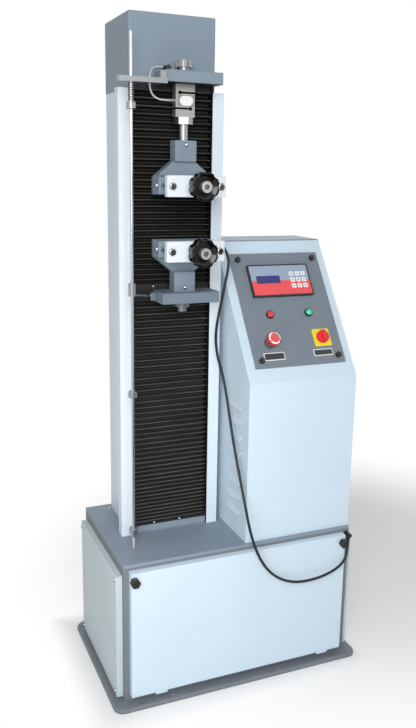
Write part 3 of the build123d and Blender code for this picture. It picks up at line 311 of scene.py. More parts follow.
floor_reach, floor_drop = 14, 0.5 * mm
shade_middle, shade_near, shade_far = (0.65, 0.4, 0), 0.45, 1.25
plinth_fade, least_glow = 0.1, 0.2
sheet = Finish("studio_floor", Roughness=0.9, Specular_IOR_Level=0.1)
sheet.feed("Base Color", sheet.mix(sheet.noise(scale=2), rgb("#F3F3F2"), rgb("#F8F8F8")))
east, north = sheet.along((1, 0, 0), shade_middle), sheet.along((0, 1, 0), shade_middle)
away = sheet.ramp((east * east + north * north).root(), shade_near, shade_far)
past_side = sheet.along((1, 0, 0)).size() - cad_box[1][0]
past_front = sheet.along((0, 1, 0)).size() - cad_box[1][1]
clear = away.least(sheet.ramp(past_side.most(past_front), 0.0, plinth_fade))
paper = Value(sheet, sheet.shader.outputs[0])
glow = sheet.node("ShaderNodeEmission", None, {"Color": plain_white, "Strength": 1.0})
glow_share = sheet.seen() * (least_glow + clear * (1 - least_glow))
blended = sheet.node("ShaderNodeMixShader", None, {0: glow_share, 1: paper, 2: glow})
sheet.tree.links.new(blended.socket, sheet.tree.nodes["Material Output"].inputs["Surface"])


def studio_card(name, outline, finish):
    """A flat four-cornered sheet with one finish."""
    mesh = bpy.data.meshes.new(name)
    mesh.from_pydata(np.array(outline, float), [], [(0, 1, 2, 3)])
    mesh.materials.append(finish.material)
    card = bpy.data.objects.new(name, mesh)
    bpy.context.collection.objects.link(card)
    return card


square = np.array([(-1, -1), (1, -1), (1, 1), (-1, 1)])
studio_card("studio_floor", np.c_[square * floor_reach, np.full(4, -floor_drop)], sheet)
print("floor reaches", floor_reach, "m")

# %% [markdown]
# Bright metal in an all-white room turns flat and white. A darker metal would be wrong under other light, so
# black cloths stand just out of the picture, as photographers hang them, and knobs and rods mirror something
# dark. There are two in front, and only reflections see them.

# %% Dark cloths
dark_cloth = Finish("dark_cloth", Roughness=1.0, Specular_IOR_Level=0.0)
dark_cloth.feed("Base Color", dark_cloth.mix(dark_cloth.noise(scale=40), rgb("#0A0A0A"), rgb("#181818")))
for name, outline in (
        ("low_cloth", [(-0.9, -3.4, 0.01), (2.0, -3.4, 0.01), (2.0, -1.0, 0.01), (-0.9, -1.0, 0.01)]),
        ("side_cloth", [(0.45, -3.3, 0.0), (1.9, -2.9, 0.0), (1.9, -2.9, 1.7), (0.45, -3.3, 1.7)])):
    card = studio_card(name, outline, dark_cloth)
    card.visible_camera = card.visible_diffuse = card.visible_shadow = card.visible_transmission = False
    print(name, "hung")

# %% [markdown]
# The light in the photograph is soft and comes mostly from the front left. A sun or a point lamp would draw
# hard edges, so each lamp is a large square, turned to its aim. A small one to the left lights the gap
# between the column and the console.

# %% Lamps
def soft_lamp(name, place, aim, size, power):
    """A square lamp of a size in metres and a power in watts, turned to its aim."""
    lamp = bpy.data.lights.new(name, "AREA")
    lamp.size = size
    lamp.energy = power
    holder = bpy.data.objects.new(name, lamp)
    holder.location = place
    holder.rotation_euler = (Vector(aim) - Vector(place)).to_track_quat("-Z", "Y").to_euler()
    bpy.context.collection.objects.link(holder)
    print(name, power, "W")
    return holder


soft_lamp("key_lamp", place=(-1.1, -2.6, 2.1), aim=(-0.1, 0, 1.1), size=1.6, power=58)
soft_lamp("side_lamp", place=(3.2, -1.2, 2.2), aim=(0, 0, 0.9), size=2.2, power=10)
soft_lamp("rear_lamp", place=(1.6, 2.8, 2.8), aim=(0, 0, 1.0), size=2.2, power=18)
gap_lamp = soft_lamp("gap_lamp", place=(-0.7, -0.8, 0.75), aim=(0.05, -0.1, 0.7), size=0.35, power=2.6)
gap_lamp.visible_camera = gap_lamp.visible_glossy = False
bpy.context.scene.view_settings.view_transform = "Standard"

# %% [markdown]
# Most of the machine is folded sheet with a powder coat. Powder flows into a fine orange peel as it bakes,
# and handling leaves slow changes of tone. A bumpy mesh would need millions of faces for that, so both are
# noise, one fine and one slow.

# %% Powder coat
def powder_coat(name, colour, shade, rough, peel):
    """A slow noise drifts between two tones, and a fine one of the peel's scale raises the paint."""
    finish = Finish(name, Specular_IOR_Level=0.4)
    tone = finish.noise(scale=3.5, detail=4)
    grain = finish.noise(scale=peel, detail=2)
    finish.paint = finish.mix(tone * 0.7 + grain * 0.15, rgb(colour), rgb(shade))
    finish.feed("Base Color", finish.paint)
    finish.feed("Roughness", rough + grain * 0.12 + tone * 0.06)
    return finish.bump(grain, distance=0.12 * mm, strength=0.35)


def coat(finish, *names):
    """Gives CAD nodes a finish; their meshes stay as they are."""
    for name in names:
        mesh = nodes[name].data
        mesh.materials.clear()
        mesh.materials.append(finish.material)
    print(finish.material.name, "on", ", ".join(names))


print("powder coat ready")

# %% [markdown]
# Round the bellows the photograph is black up to the flanges, where shade falls. So the column, the head,
# the load plate's underside and the crosshead are painted black there, as painted shade. The sheet could be
# cut in two for it, but a CAD piece stays whole. Each paint has a mask instead, made of distances from known
# edges of the machine.

# %% Painted shade round the bellows
# The black of the painted shade round the bellows.
painted_shade_black = "#121212"
machine_grey = {"colour": "#8796A3", "shade": "#7D8B98", "rough": 0.42, "peel": 1100}
# The last margin sets how far in front of the bellows' face the crosshead's painted shade begins.
channel_half, sheet_edge, shade_margin = 118.8 * mm, 1.5 * mm, 0.5 * mm


def corners(node):
    """Lowest and highest corner of a CAD node."""
    return [np.array(corner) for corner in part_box(node)]


def middle_of(node):
    """Half the sum of a CAD node's two corners."""
    return sum(corners(node)) / 2


def column_coat():
    """Pale paint, lighter than the cover's as painted light, and black painted shade inside the channel:
    within half of its middle, behind the front edge and before the back wall."""
    finish = powder_coat("column_paint", "#E3EEF6", "#D9E5EE", rough=0.38, peel=900)
    low, high = corners("column_profile")
    aside = finish.along((1, 0, 0), middle_of("column_profile")).size()
    channel_shade = (aside < channel_half) * (finish.along((0, 1, 0), low) > sheet_edge)
    channel_shade = channel_shade * (finish.along((0, 1, 0), high) < -sheet_edge)
    return finish.feed("Base Color", finish.mix(channel_shade, finish.paint, rgb("#121315")))


def crosshead_coat():
    """Darker grey paint, and black painted shade from the bellows' front face backwards."""
    finish = powder_coat("crosshead_paint", "#768490", "#6D7A86", rough=0.42, peel=1100)
    behind = finish.along((0, 1, 0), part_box("bellows_upper")[0]) > -shade_margin
    return finish.feed("Base Color", finish.mix(behind, finish.paint, rgb(painted_shade_black)))


def underside_shade_coat(name, level):
    """Grey paint, and black painted shade under the load plate: below a level, in front of the column's
    middle and no wider than its channel."""
    finish = powder_coat(name, **machine_grey)
    middle = middle_of("column_profile")
    aside = finish.along((1, 0, 0), middle).size()
    under_shade = (aside < channel_half) * (finish.along((0, 1, 0), middle) < 0.0)
    under_shade = under_shade * (finish.along((0, 0, 1)) < level)
    return finish.feed("Base Color", finish.mix(under_shade, finish.paint, rgb(painted_shade_black)))


print("black within", round(channel_half, 4), "m of the channel's middle")

# %% [markdown]
# The sheet metal has three families of paint: a pale blue white, a machine grey and a nearly white enamel on
# the yokes. The sides are a darker, greyer pale and the base a darker grey, both painted shade; the work
# surface is a lighter grey, painted light. The control plate has a tone of its own. All are matched to the
# photograph.

# %% Painted pieces
pale_paint = powder_coat("pale_paint", "#D6E8F4", "#CBDDEA", rough=0.38, peel=900)
grey_paint = powder_coat("grey_paint", **machine_grey)
# A darker, greyer grey for the base: painted shade.
base_shade_paint = powder_coat("base_shade_paint", "#7C8288", "#72787E", rough=0.5, peel=700)
# A darker, greyer pale for the sides: painted shade.
side_shade_paint = powder_coat("side_shade_paint", "#C8D7DA", "#BDCCD0", rough=0.38, peel=900)
panel_paint = powder_coat("control_paint", "#7D8892", "#747F89", rough=0.46, peel=1300)
yoke_paint = powder_coat("yoke_paint", "#E9EFF3", "#DDE5EB", rough=0.34, peel=1000)
# A grey lighter than the machine grey for the work surface: painted light from above.
surface_lit_paint = powder_coat("surface_lit_paint", "#8F9DAA", "#8592A0", rough=0.5, peel=700)
load_underside, underside_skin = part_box("load_plate")[0][2], 0.4 * mm
# The column's pale is lighter than the cover's, as painted light, and black painted shade fills its channel.
coat(column_coat(), "column_profile")
coat(pale_paint, "front_cover", "console_shell")
coat(side_shade_paint, "left_side_panel", "right_side_panel", "base_back_panel")
# The crosshead is a darker grey, and black painted shade lies behind the bellows' face.
coat(crosshead_coat(), "crosshead_plate")
# Black painted shade under the load plate: on the head cover, the column's top plate and the plate's
# underside.
coat(underside_shade_coat("head_paint", load_underside), "head_cover", "column_top_plate")
coat(underside_shade_coat("load_plate_paint", load_underside + underside_skin), "load_plate")
coat(grey_paint, "upper_grip_body", "lower_grip_body", "upper_grip_jaw", "lower_grip_jaw", "console_lid")
coat(surface_lit_paint, "base_top_plate")
coat(base_shade_paint, "base_frame", "motor_bracket")
coat(panel_paint, "control_plate")
coat(yoke_paint, "upper_grip_yoke", "lower_grip_yoke")

# %% [markdown]
# Turned and ground steel shows fine lines along the tool's path. An anisotropic shader could stretch its
# highlights, but would draw no lines. Noise that is squeezed in one direction draws them, and the same noise
# varies the roughness so that highlights break up.

# %% Bare metal
def drawn_metal(name, colour, rough, stretch, line_scale=400):
    """Bare metal: noise drawn out by the stretch gives tool lines, and a slow noise gives faint stains."""
    finish = Finish(name, Metallic=1.0)
    lines = finish.noise(line_scale, detail=3, stretch=stretch)
    stain = finish.noise(scale=22, detail=4)
    finish.feed("Base Color", finish.mix(lines * 0.35 + stain * 0.25, rgb(colour), rgb("#8E9092")))
    finish.feed("Roughness", rough + lines * 0.14 + stain * 0.08)
    return finish.bump(lines, distance=0.03 * mm, strength=0.3)


rod_steel = drawn_metal("rod_steel", "#CDD0D4", rough=0.14, stretch=(8, 8, 0.15))
plated_steel = drawn_metal("plated_steel", "#A4A7AA", rough=0.3, stretch=(1, 1, 6))
bolt_steel = drawn_metal("bolt_steel", "#7A7D80", rough=0.3, stretch=(6, 6, 0.5))
bright_nickel = drawn_metal("bright_nickel", "#BDBFC2", rough=0.1, stretch=(3, 3, 3))
cell_alloy = drawn_metal("cell_alloy", "#B3B0AC", rough=0.42, stretch=(0.2, 5, 5))
cast_alloy = drawn_metal("cast_alloy", "#B8BABC", rough=0.45, stretch=(1, 1, 1), line_scale=160)
coat(rod_steel, "limit_rod", "guide_rods")
coat(plated_steel, "panel_screws", "trip_arm", "limit_collars", "estop_collar", "limit_spring",
     "rod_guide_bar", "load_stud")
coat(bolt_steel, "load_plate_bolt", "crosshead_bolt")
coat(bright_nickel, "upper_grip_bolts", "lower_grip_bolts", "linear_bushings", "screw_nut")
coat(cell_alloy, "load_cell")
coat(cast_alloy, "carriage", "lower_bearing_block", "upper_bearing_block", "screw_pulley", "motor_pulley")

# %% [markdown]
# The drive screw and the limit switch's bush are threaded. A cut thread has far more faces than it shows, so
# here it is relief: a wave whose phase climbs with the angle round the axis.

# %% Threads
bush_lead, drive_lead = 1.5 * mm, 10 * mm


def helix(finish, centre, lead):
    """Sine of a phase: height over the lead, in turns, less the angle round the upright axis."""
    angle = finish.along((0, 1, 0), centre).turn_from(finish.along((1, 0, 0), centre))
    return (finish.along((0, 0, 1), centre) * (2 * math.pi / lead) - angle).sine()


def threaded_metal(name, colour, rough, centre, lead):
    """Bare metal whose colour and relief follow a helix of the given lead round an upright axis."""
    finish = Finish(name, Metallic=1.0)
    wave = helix(finish, centre, lead)
    grain = finish.noise(scale=300, detail=3)
    finish.feed("Base Color", finish.mix(wave * 0.25 + 0.3, rgb(colour), rgb("#75787B")))
    finish.feed("Roughness", rough + grain * 0.15)
    return finish.bump(wave, distance=1.2 * mm, strength=0.8)


def switch_finish(centre, surface):
    """Black switch body below the work surface, and a bright threaded bush above it."""
    finish = Finish("switch_finish")
    bush = finish.along((0, 0, 1)) > surface
    wave = helix(finish, centre, bush_lead)
    grain = finish.noise(scale=400, detail=3)
    steel = finish.mix(wave * 0.3 + 0.3, rgb("#CDD0D2"), rgb("#7C7F82"))
    black = finish.mix(grain * 0.3, rgb("#17181A"), rgb("#2C2D2F"))
    finish.feed("Base Color", finish.mix(bush, black, steel))
    finish.feed("Metallic", bush)
    finish.feed("Roughness", 0.24 + grain * 0.2)
    return finish.bump(wave * bush, distance=0.3 * mm, strength=0.6)


screw_axis, limit_axis = middle_of("ball_screw"), middle_of("limit_rod")
coat(threaded_metal("screw_steel", "#C9CBCC", 0.25, screw_axis, drive_lead), "ball_screw")
coat(switch_finish(limit_axis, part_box("base_top_plate")[1][2]), "limit_switch")

# %% [markdown]
# A hand knob is black phenolic moulded round a bright spindle and hub. Plastic and metal could be two pieces,
# but they turn as one, so one material tells them apart by distance from the axis and by depth.

# %% Hand knobs
hub_stand, knob_thick, dish_depth = 6 * mm, 30 * mm, 9 * mm
hub_reach, bore_shade_reach, lathe_pitch = 14.6 * mm, 6.7 * mm, 0.7 * mm


def knob_finish(name, centre, back, dish):
    """Black plastic, with metal behind the knob's back and within the hub in its dish; the metal's darker
    centre is painted shade in the bore, and a sine of the distance from the axis gives the metal its lathe
    rings."""
    finish = Finish(name, Specular_IOR_Level=0.4)
    east = finish.along((1, 0, 0), centre)
    height = finish.along((0, 0, 1), centre)
    depth = finish.along((0, -1, 0))
    reach = (east * east + height * height).root()
    metal = (depth < back).most((depth > dish) * (reach < hub_reach))
    wear = finish.noise(scale=60, detail=4)
    black = finish.mix(wear * 0.12, rgb("#050505"), rgb("#2A2A2A"))
    # Darker metal within the bore's radius: painted shade in the hub's bore.
    steel = finish.mix(reach < bore_shade_reach, rgb("#C6C7C8"), rgb("#6E7C80"))
    lathe = (reach * (2 * math.pi / lathe_pitch)).sine() * metal
    finish.feed("Base Color", finish.mix(metal, black, steel))
    finish.feed("Metallic", metal)
    finish.feed("Roughness", 0.1 + wear * 0.1 + metal * 0.3)
    return finish.bump(lathe, distance=0.05 * mm, strength=0.3)


for grip in ("upper", "lower"):
    knob = grip + "_grip_knob"
    knob_front = -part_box(knob)[0][1] - hub_stand
    knob_back, knob_dish = knob_front - knob_thick, knob_front - dish_depth
    coat(knob_finish(grip + "_knob_finish", middle_of(knob), knob_back, knob_dish), knob)

# %% [markdown]
# The small black fittings, the motor's enamel and the belt are moulded or dipped. A smooth black would look
# like glass, so a fine grain roughens it, and a slow noise lets a paler worn tone through.

# %% Moulded plastics
def moulded(name, colour, rough, grain_scale=900, worn="#5A5A5A"):
    """Moulded plastic or enamel: a slow noise mixes in the worn tone, and a fine one raises the grain."""
    finish = Finish(name, Specular_IOR_Level=0.5)
    grain = finish.noise(grain_scale, detail=2)
    wear = finish.noise(scale=30, detail=4)
    finish.feed("Base Color", finish.mix(wear * 0.18, rgb(colour), rgb(worn)))
    finish.feed("Roughness", rough + grain * 0.1 + wear * 0.08)
    return finish.bump(grain, distance=0.05 * mm, strength=0.25)


black_plastic = moulded("black_plastic", "#0F0F10", rough=0.3)
coat(black_plastic, "cover_knob_left", "cover_knob_right", "plate_thumb_screws", "cable_glands")
coat(moulded("motor_enamel", "#1B1C1E", rough=0.4, grain_scale=500), "drive_motor")
coat(moulded("belt_rubber", "#171716", rough=0.62, grain_scale=700), "timing_belt")
coat(moulded("display_plastic", "#1C1D20", rough=0.4), "display_unit")

# %% [markdown]
# The pieces that follow are new shapes. They could be modelled by hand, but a grid of points worked out whole
# with numpy can be read and changed as a formula. One function turns any grid into a closed, smooth surface.

# %% Surfaces through grids
def capped(points):
    """A grid with its first and last row drawn together to a point each, which closes a tube's ends."""
    first, last = (np.broadcast_to(points[row].mean(0), points[row].shape) for row in (0, -1))
    return np.concatenate([first[None], points, last[None]])


def skin(name, points, finish, body, wrap_rows=False, sharp=35):
    """A surface through a grid of points, closed round its columns; doubles at poles are merged."""
    rows, columns = points.shape[:2]
    index = np.arange(rows * columns).reshape(rows, columns)
    here = index if wrap_rows else index[:-1]
    above = np.roll(index, -1, 0) if wrap_rows else index[1:]
    quads = np.stack([here, np.roll(here, -1, 1), np.roll(above, -1, 1), above], -1).reshape(-1, 4)
    mesh = bpy.data.meshes.new(name)
    mesh.from_pydata(points.reshape(-1, 3), [], quads)
    shape = bmesh.new()
    shape.from_mesh(mesh)
    bmesh.ops.remove_doubles(shape, verts=shape.verts, dist=1e-6)
    bmesh.ops.recalc_face_normals(shape, faces=shape.faces)
    shape.to_mesh(mesh)
    shape.free()
    mesh.shade_smooth()
    mesh.set_sharp_from_angle(angle=math.radians(sharp))
    piece = bpy.data.objects.new(name, mesh)
    bpy.context.collection.objects.link(piece)
    mesh.materials.append(finish.material)
    if body:
        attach(piece, body)
    return piece


print("grids become surfaces")

# %% [markdown]
# Bellows are coated cloth folded over stiff frames. The ridges are paler, partly from rubbing and partly as a
# painted highlight where light catches the crests. The lower folds are lighter, as painted light. A mask
# by height could not tell a ridge from a valley once the cloth moves, so an attribute on the mesh marks the
# ridges and the material reads it.

# %% Bellows cloth
def bellows_cloth():
    """Black cloth with ridges paler from rubbing and from a painted highlight, and lighter towards the bottom
    as painted light; a fine noise is the weave.
    """
    finish = Finish("bellows_cloth", Specular_IOR_Level=0.35)
    ridge = finish.node("ShaderNodeAttribute", {"attribute_name": "ridge"}, output="Fac")
    weave = finish.noise(scale=1400, detail=2, stretch=(1, 1, 2))
    light_patches = finish.noise(scale=14, detail=4, stretch=(0.5, 1, 3))
    # Lighter towards the bottom in patches: painted light on the lower folds.
    lower_painted_light = 1 - finish.ramp(finish.along((0, 0, 1)), 0.6, 1.5)
    cloth_black = finish.mix(lower_painted_light * (0.5 + light_patches), rgb("#0D0C0B"), rgb("#2A2927"))
    # Paler ridges: partly rubbed cloth, partly a painted highlight on the crests.
    finish.feed("Base Color", finish.mix(ridge * (0.35 + light_patches * 0.9), cloth_black, rgb("#8E8E8B")))
    finish.feed("Roughness", 0.5 + weave * 0.18)
    return finish.bump(weave, distance=0.15 * mm, strength=0.4)


cloth = bellows_cloth()
print(cloth.material.name, "reads its ridges")

# %% [markdown]
# A simulation could fold the cloth, but even pleats are a formula. A ring round the column's opening draws in
# and out as it climbs, sharp at each ridge and slack in each valley. The pitch grows upwards because the
# cloth hangs.

# %% Bellows pleats
def pleated(name, node, pleats, slack, finish):
    """Rings stacked in height: phase along the pleats sets how far each ring draws in, as the 0.75 power of a
    rectified sine; height is a quadratic of the phase, so that the pitch grows from bottom to top."""
    steps, wide, deep = 10, 25, 6
    fold, crease, sag_depth, ridge_depth = 15 * mm, 0.75, 0.9 * mm, 3.5 * mm
    sag_wave, sag_step, side_share = 2.2, 1.7, 0.15
    low, high = corners(node)
    phase = np.arange(pleats * steps + 1) / steps
    share = phase / pleats
    height = low[2] + (high[2] - low[2]) * (slack * share + (1 - slack) * share ** 2)
    draw = fold * np.abs(np.sin(np.pi * phase)) ** crease
    middle, half = (low[0] + high[0]) / 2, (high[0] - low[0]) / 2
    across = np.linspace(-1, 1, wide)
    lean = np.ones(deep)
    side = np.linspace(0, 1, deep + 2)[1:-1]
    ring_x = np.concatenate([across, lean, across[::-1], -lean])
    ring_y = np.concatenate([np.zeros(wide), side, np.ones(wide), side[::-1]])
    sag = sag_depth * np.sin(across[None] * sag_wave + np.round(phase)[:, None] * sag_step)
    x = middle + ring_x[None] * (half - side_share * draw[:, None])
    front = low[1] + draw[:, None]
    y = front + ring_y[None] * (high[1] - front)
    z = np.repeat(height[:, None], ring_x.size, 1)
    y[1:-1, :wide] += np.maximum(sag, 0)[1:-1]
    points = capped(np.stack([x, y, z], -1))
    piece = skin(name, points, finish, None, sharp=80)
    spots = np.empty(len(piece.data.vertices) * 3)
    piece.data.vertices.foreach_get("co", spots)
    depth = spots.reshape(-1, 3)[:, 1] - low[1]
    ridge = piece.data.attributes.new("ridge", "FLOAT", "POINT")
    ridge.data.foreach_set("value", np.clip(1 - depth / ridge_depth, 0, 1).astype(np.float32))
    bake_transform(piece)
    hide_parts(node)
    print(name, "pleats", pleats, "rows", len(points))


pleated("upper_bellows_cloth", "bellows_upper", pleats=31, slack=0.78, finish=cloth)
pleated("lower_bellows_cloth", "bellows_lower", pleats=46, slack=0.66, finish=cloth)

# %% [markdown]
# Strips, keys and labels are rounded plates, and screws and lenses are turned. A primitive with a Bevel
# modifier would have to be turned and moved into place. A face gives a flat place on the machine three
# directions instead, so that each piece is written in its own simple coordinates and is made in place.

# %% Plates and turned pieces
class Face:
    """A flat place: an origin with directions to the right, up and out."""

    def __init__(self, origin, right, up, out):
        self.origin, self.right, self.up, self.out = (np.array(v, float) for v in (origin, right, up, out))

    def at(self, a, b, h):
        """The origin moved by a to the right, b up and h out."""
        a, b, h = (np.asarray(v, float)[..., None] for v in (a, b, h))
        return self.origin + a * self.right + b * self.up + h * self.out


def facing_front(x, y, z):
    """An upright face that looks towards the operator."""
    return Face((x, y, z), (1, 0, 0), (0, 0, 1), (0, -1, 0))


def plate(name, face, a, b, width, height, low, high, finish, body, slot=None, corner=2 * mm, edge=0.4 * mm,
          hole=0.0):
    """Rounded plate: the rim is a rectangle's corner plus a circle, and rims are stacked with a soft edge."""
    sides = 64
    angle = (np.arange(sides) + 0.5) / sides * 2 * np.pi
    ring = np.stack([np.cos(angle), np.sin(angle)])
    inner = np.array([[width / 2 - corner], [height / 2 - corner]])
    rim = np.sign(ring) * inner + corner * ring
    soft = np.sign(ring) * inner + (corner - edge) * ring
    stack = [(hole * ring, low), (rim, low), (rim, high - edge), (soft, high), (hole * ring, high)]
    points = np.stack([face.at(a + flat[0], b + flat[1], np.full(sides, h)) for flat, h in stack])
    return skin(name, points, finish, body, wrap_rows=hole > 0)


def turned(name, face, a, b, profile, finish, body, slot=None, sides=32):
    """A profile of radius and height carried round an axis that stands on the face."""
    radius, height = np.array(profile).T
    angle = np.arange(sides) / sides * 2 * np.pi
    points = face.at(a + radius[:, None] * np.cos(angle), b + radius[:, None] * np.sin(angle),
                     np.repeat(height[:, None], sides, 1))
    return skin(name, points, finish, body)


print("plates and turned pieces stand on faces")

# %% [markdown]
# The lower bellows end on the work surface behind a painted angle strip. A black bar above it clamps the
# cloth with two bright screws. The upper bellows are clamped to the crosshead by a bar of the same kind. A
# painted line could stand for a bar, but a thin plate also catches light on its edge.

# %% Bellows foot
button = np.array([(0, 3.6), (1.8, 3.4), (3.4, 2.6), (4.4, 1.2), (4.6, 0.2), (4.6, 0.0), (0, 0.0)]) * mm
foot_low, foot_high = corners("bellows_lower")
foot_middle, foot_width = (foot_low[0] + foot_high[0]) / 2, foot_high[0] - foot_low[0]
foot_height, clamp_height, crosshead_clamp, crosshead_gap = 20 * mm, 9 * mm, 16 * mm, 1 * mm
strip_back, strip_front, strip_corner, strip_edge = 0.1 * mm, 1.6 * mm, 0.8 * mm, 0.3 * mm


def strip(name, face, bottom, height, finish, body, slot):
    """A thin plate across the whole bellows."""
    return plate(name, face, foot_middle, bottom + height / 2, foot_width, height, strip_back, strip_front,
                 finish, body, slot, strip_corner, strip_edge)


def clamp(bar, screw, face, bottom, height, body, places, profile):
    """A black bar with a left and a right screw half way up its front."""
    strip(bar, face, bottom, height, black_plastic, body, "black_plastic")
    front = facing_front(*face.at(0, bottom + height / 2, strip_front))
    for side, x in zip(("left", "right"), places):
        turned(f"{side}_{screw}", front, x * mm, 0, profile, bright_nickel, body, "nickel_steel")
    print(bar, "with screws at", places)


foot_face = facing_front(0, foot_low[1], foot_low[2])
rise_face = facing_front(0, foot_low[1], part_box("bellows_upper")[0][2])
strip("bellows_foot_strip", foot_face, 0, foot_height, surface_lit_paint, "frame", "grey_paint")
clamp("bellows_clamp_bar", "clamp_screw", foot_face, foot_height, clamp_height, "frame", (-208, -128), button)
clamp("crosshead_clamp_bar", "crosshead_clamp_screw", rise_face, crosshead_gap, crosshead_clamp,
      "crosshead", (-211, -111), button * 0.8)

# %% [markdown]
# The limit rod's spring is a real coil. A Screw modifier could sweep one with open ends; here a small circle
# is carried along a helix and its ends are closed. It stretches between the guide bar and the rod's collar.

# %% Spring
def coil(name, node, wire, turns, finish):
    """A circle carried along a helix; its two directions are the radius and the upright."""
    low, high = corners(node)
    middle = (low + high) / 2
    radius = (high[0] - low[0]) / 2 - wire / 2
    turn_steps, sides = 24, 10
    steps = turns * turn_steps + 1
    angle = np.linspace(0, 2 * np.pi * turns, steps)[:, None]
    rise = np.linspace(low[2] + wire / 2, high[2] - wire / 2, steps)[:, None]
    round_wire = np.arange(sides)[None] / sides * 2 * np.pi
    reach = radius + wire / 2 * np.cos(round_wire)
    points = np.stack([middle[0] + reach * np.cos(angle), middle[1] + reach * np.sin(angle),
                       rise + wire / 2 * np.sin(round_wire)], -1)
    piece = skin(name, capped(points), finish, None, sharp=60)
    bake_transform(piece)
    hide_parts(node)
    print(name, "turns", turns)


spring_steel = drawn_metal("spring_steel", "#74767A", rough=0.28, stretch=(1, 1, 1))
coil("limit_spring_coil", "limit_spring", wire=2.6 * mm, turns=8, finish=spring_steel)

# %% [markdown]
# The control panel is one sloping face. Its display has a two-colour overlay, a dark window and nine membrane
# keys. A picture of them would be flat, so each is a thin rounded plate, and a key has a plain mark. The
# overlay's colour changes with distance up the slope.

# %% Display
knee_y, knee_z, lid_y, lid_z = -202 * mm, 912 * mm, 58 * mm, 1289 * mm
slope = math.atan2(lid_z - knee_z, lid_y - knee_y)
panel = Face((0, knee_y, knee_z), (1, 0, 0), (0, math.cos(slope), math.sin(slope)),
             (0, -math.sin(slope), math.cos(slope)))
display_x, display_v, colour_line = 185.5 * mm, 315 * mm, -2 * mm
window_x, window_v, key_rows, key_columns = 144.5 * mm, 317 * mm, (294.5, 314.4, 334.5), (225, 244.9, 264)
overlay_size, window_size, key_size = (192 * mm, 95.5 * mm), (78 * mm, 25 * mm), (15 * mm, 14.5 * mm)
mark_sizes = ((7 * mm, 1.4 * mm), (1.4 * mm, 7 * mm), (4 * mm, 4 * mm))
rim_top, overlay_top, window_top, key_top, mark_top = 12 * mm, 12.6 * mm, 13 * mm, 13.2 * mm, 13.35 * mm


def overlay_film():
    """Printed film, red below the colour line and grey above it."""
    finish = Finish("overlay_film", Specular_IOR_Level=0.45)
    climb = finish.along(panel.up, panel.at(0, 0, 0)) - display_v
    grain = finish.noise(scale=600, detail=2)
    colours = finish.mix(climb > colour_line, rgb("#EE4B50"), rgb("#97A8BD"))
    finish.feed("Base Color", finish.mix(grain * 0.06, colours, rgb("#FFFFFF")))
    finish.feed("Roughness", 0.3 + grain * 0.12)
    return finish.bump(grain, distance=0.03 * mm, strength=0.2)


plate("display_overlay", panel, display_x, display_v, *overlay_size, rim_top, overlay_top, overlay_film(),
      "frame", "display_plastic", corner=1.5 * mm, edge=0.2 * mm)
window_glass = moulded("window_glass", "#29287C", rough=0.12, grain_scale=400)
key_film = moulded("key_film", "#EEF4F5", rough=0.35, grain_scale=800, worn="#C9D2D4")
key_ink = moulded("key_ink", "#3B4048", rough=0.45)
plate("display_window", panel, window_x, window_v, *window_size, overlay_top, window_top, window_glass,
      "frame", "display_plastic", corner=1 * mm, edge=0.2 * mm)
for row, key_v in enumerate(key_rows):
    for column, key_x in enumerate(key_columns):
        place, mark_size = (key_x * mm, key_v * mm), mark_sizes[(row + column) % len(mark_sizes)]
        plate(f"display_key_{row}_{column}", panel, *place, *key_size, overlay_top, key_top, key_film,
              "frame", "display_plastic", corner=1.6 * mm, edge=0.3 * mm)
        plate(f"display_key_mark_{row}_{column}", panel, *place, *mark_size, key_top, mark_top, key_ink,
              "frame", "display_plastic", corner=0.5 * mm, edge=0.1 * mm)
print("keys", len(key_rows) * len(key_columns))

# %% [markdown]
# Two label plates and a yellow switch plate lie on the same slope. They could be painted on the control
# plate, but a thin plate has an edge and a gloss of its own. The switch plate has a hole in which the
# selector's stem can turn.

# %% Labels and switch plate
plate_top, label_rim_top, label_top, selector_top = 4 * mm, 4.8 * mm, 5.3 * mm, 6.4 * mm
label_border = 5.5
label_white = moulded("label_white", "#F0F1F1", rough=0.4, grain_scale=900, worn="#B8BABA")
label_black = moulded("label_black", "#24272A", rough=0.42)
for side, label_x, label_v, wide, tall in (("left", 106.5, 76.5, 67, 24), ("right", 267.5, 78, 64, 21)):
    place = (label_x * mm, label_v * mm)
    plate(side + "_label_rim", panel, *place, wide * mm, tall * mm, plate_top, label_rim_top, label_white,
          "frame", "black_plastic", corner=3 * mm, edge=0.3 * mm)
    plate(side + "_label_plate", panel, *place, (wide - label_border) * mm, (tall - label_border) * mm,
          label_rim_top, label_top, label_black, "frame", "black_plastic", corner=1.2 * mm, edge=0.2 * mm)
    print(side, "label", wide, "by", tall, "mm")
switch_yellow = moulded("switch_yellow", "#F5E436", rough=0.4, grain_scale=900, worn="#C7A91A")
selector_place, selector_size, stem_hole = (275 * mm, 124.5 * mm), (56 * mm, 55 * mm), 6.6 * mm
plate("selector_plate", panel, *selector_place, *selector_size, plate_top, selector_top, switch_yellow,
      "frame", "display_plastic", corner=4 * mm, edge=0.5 * mm, hole=stem_hole)

# %% [markdown]
# The stop button carries three white arcs, and the lamps have low domed lenses. The arcs are printed, so they
# are a mask in the button's material and not pieces: a distance from its axis across the slope, with gaps
# where a wave of the angle is lowest. A lens stands proud, so it is turned.

# %% Stop button, switch and lamps
stop_x, stop_v, lamp_v = 101 * mm, 118 * mm, 206.5 * mm
ring_inner, ring_outer, crown_height, gap_level = 14.4 * mm, 18.4 * mm, 36 * mm, -0.9


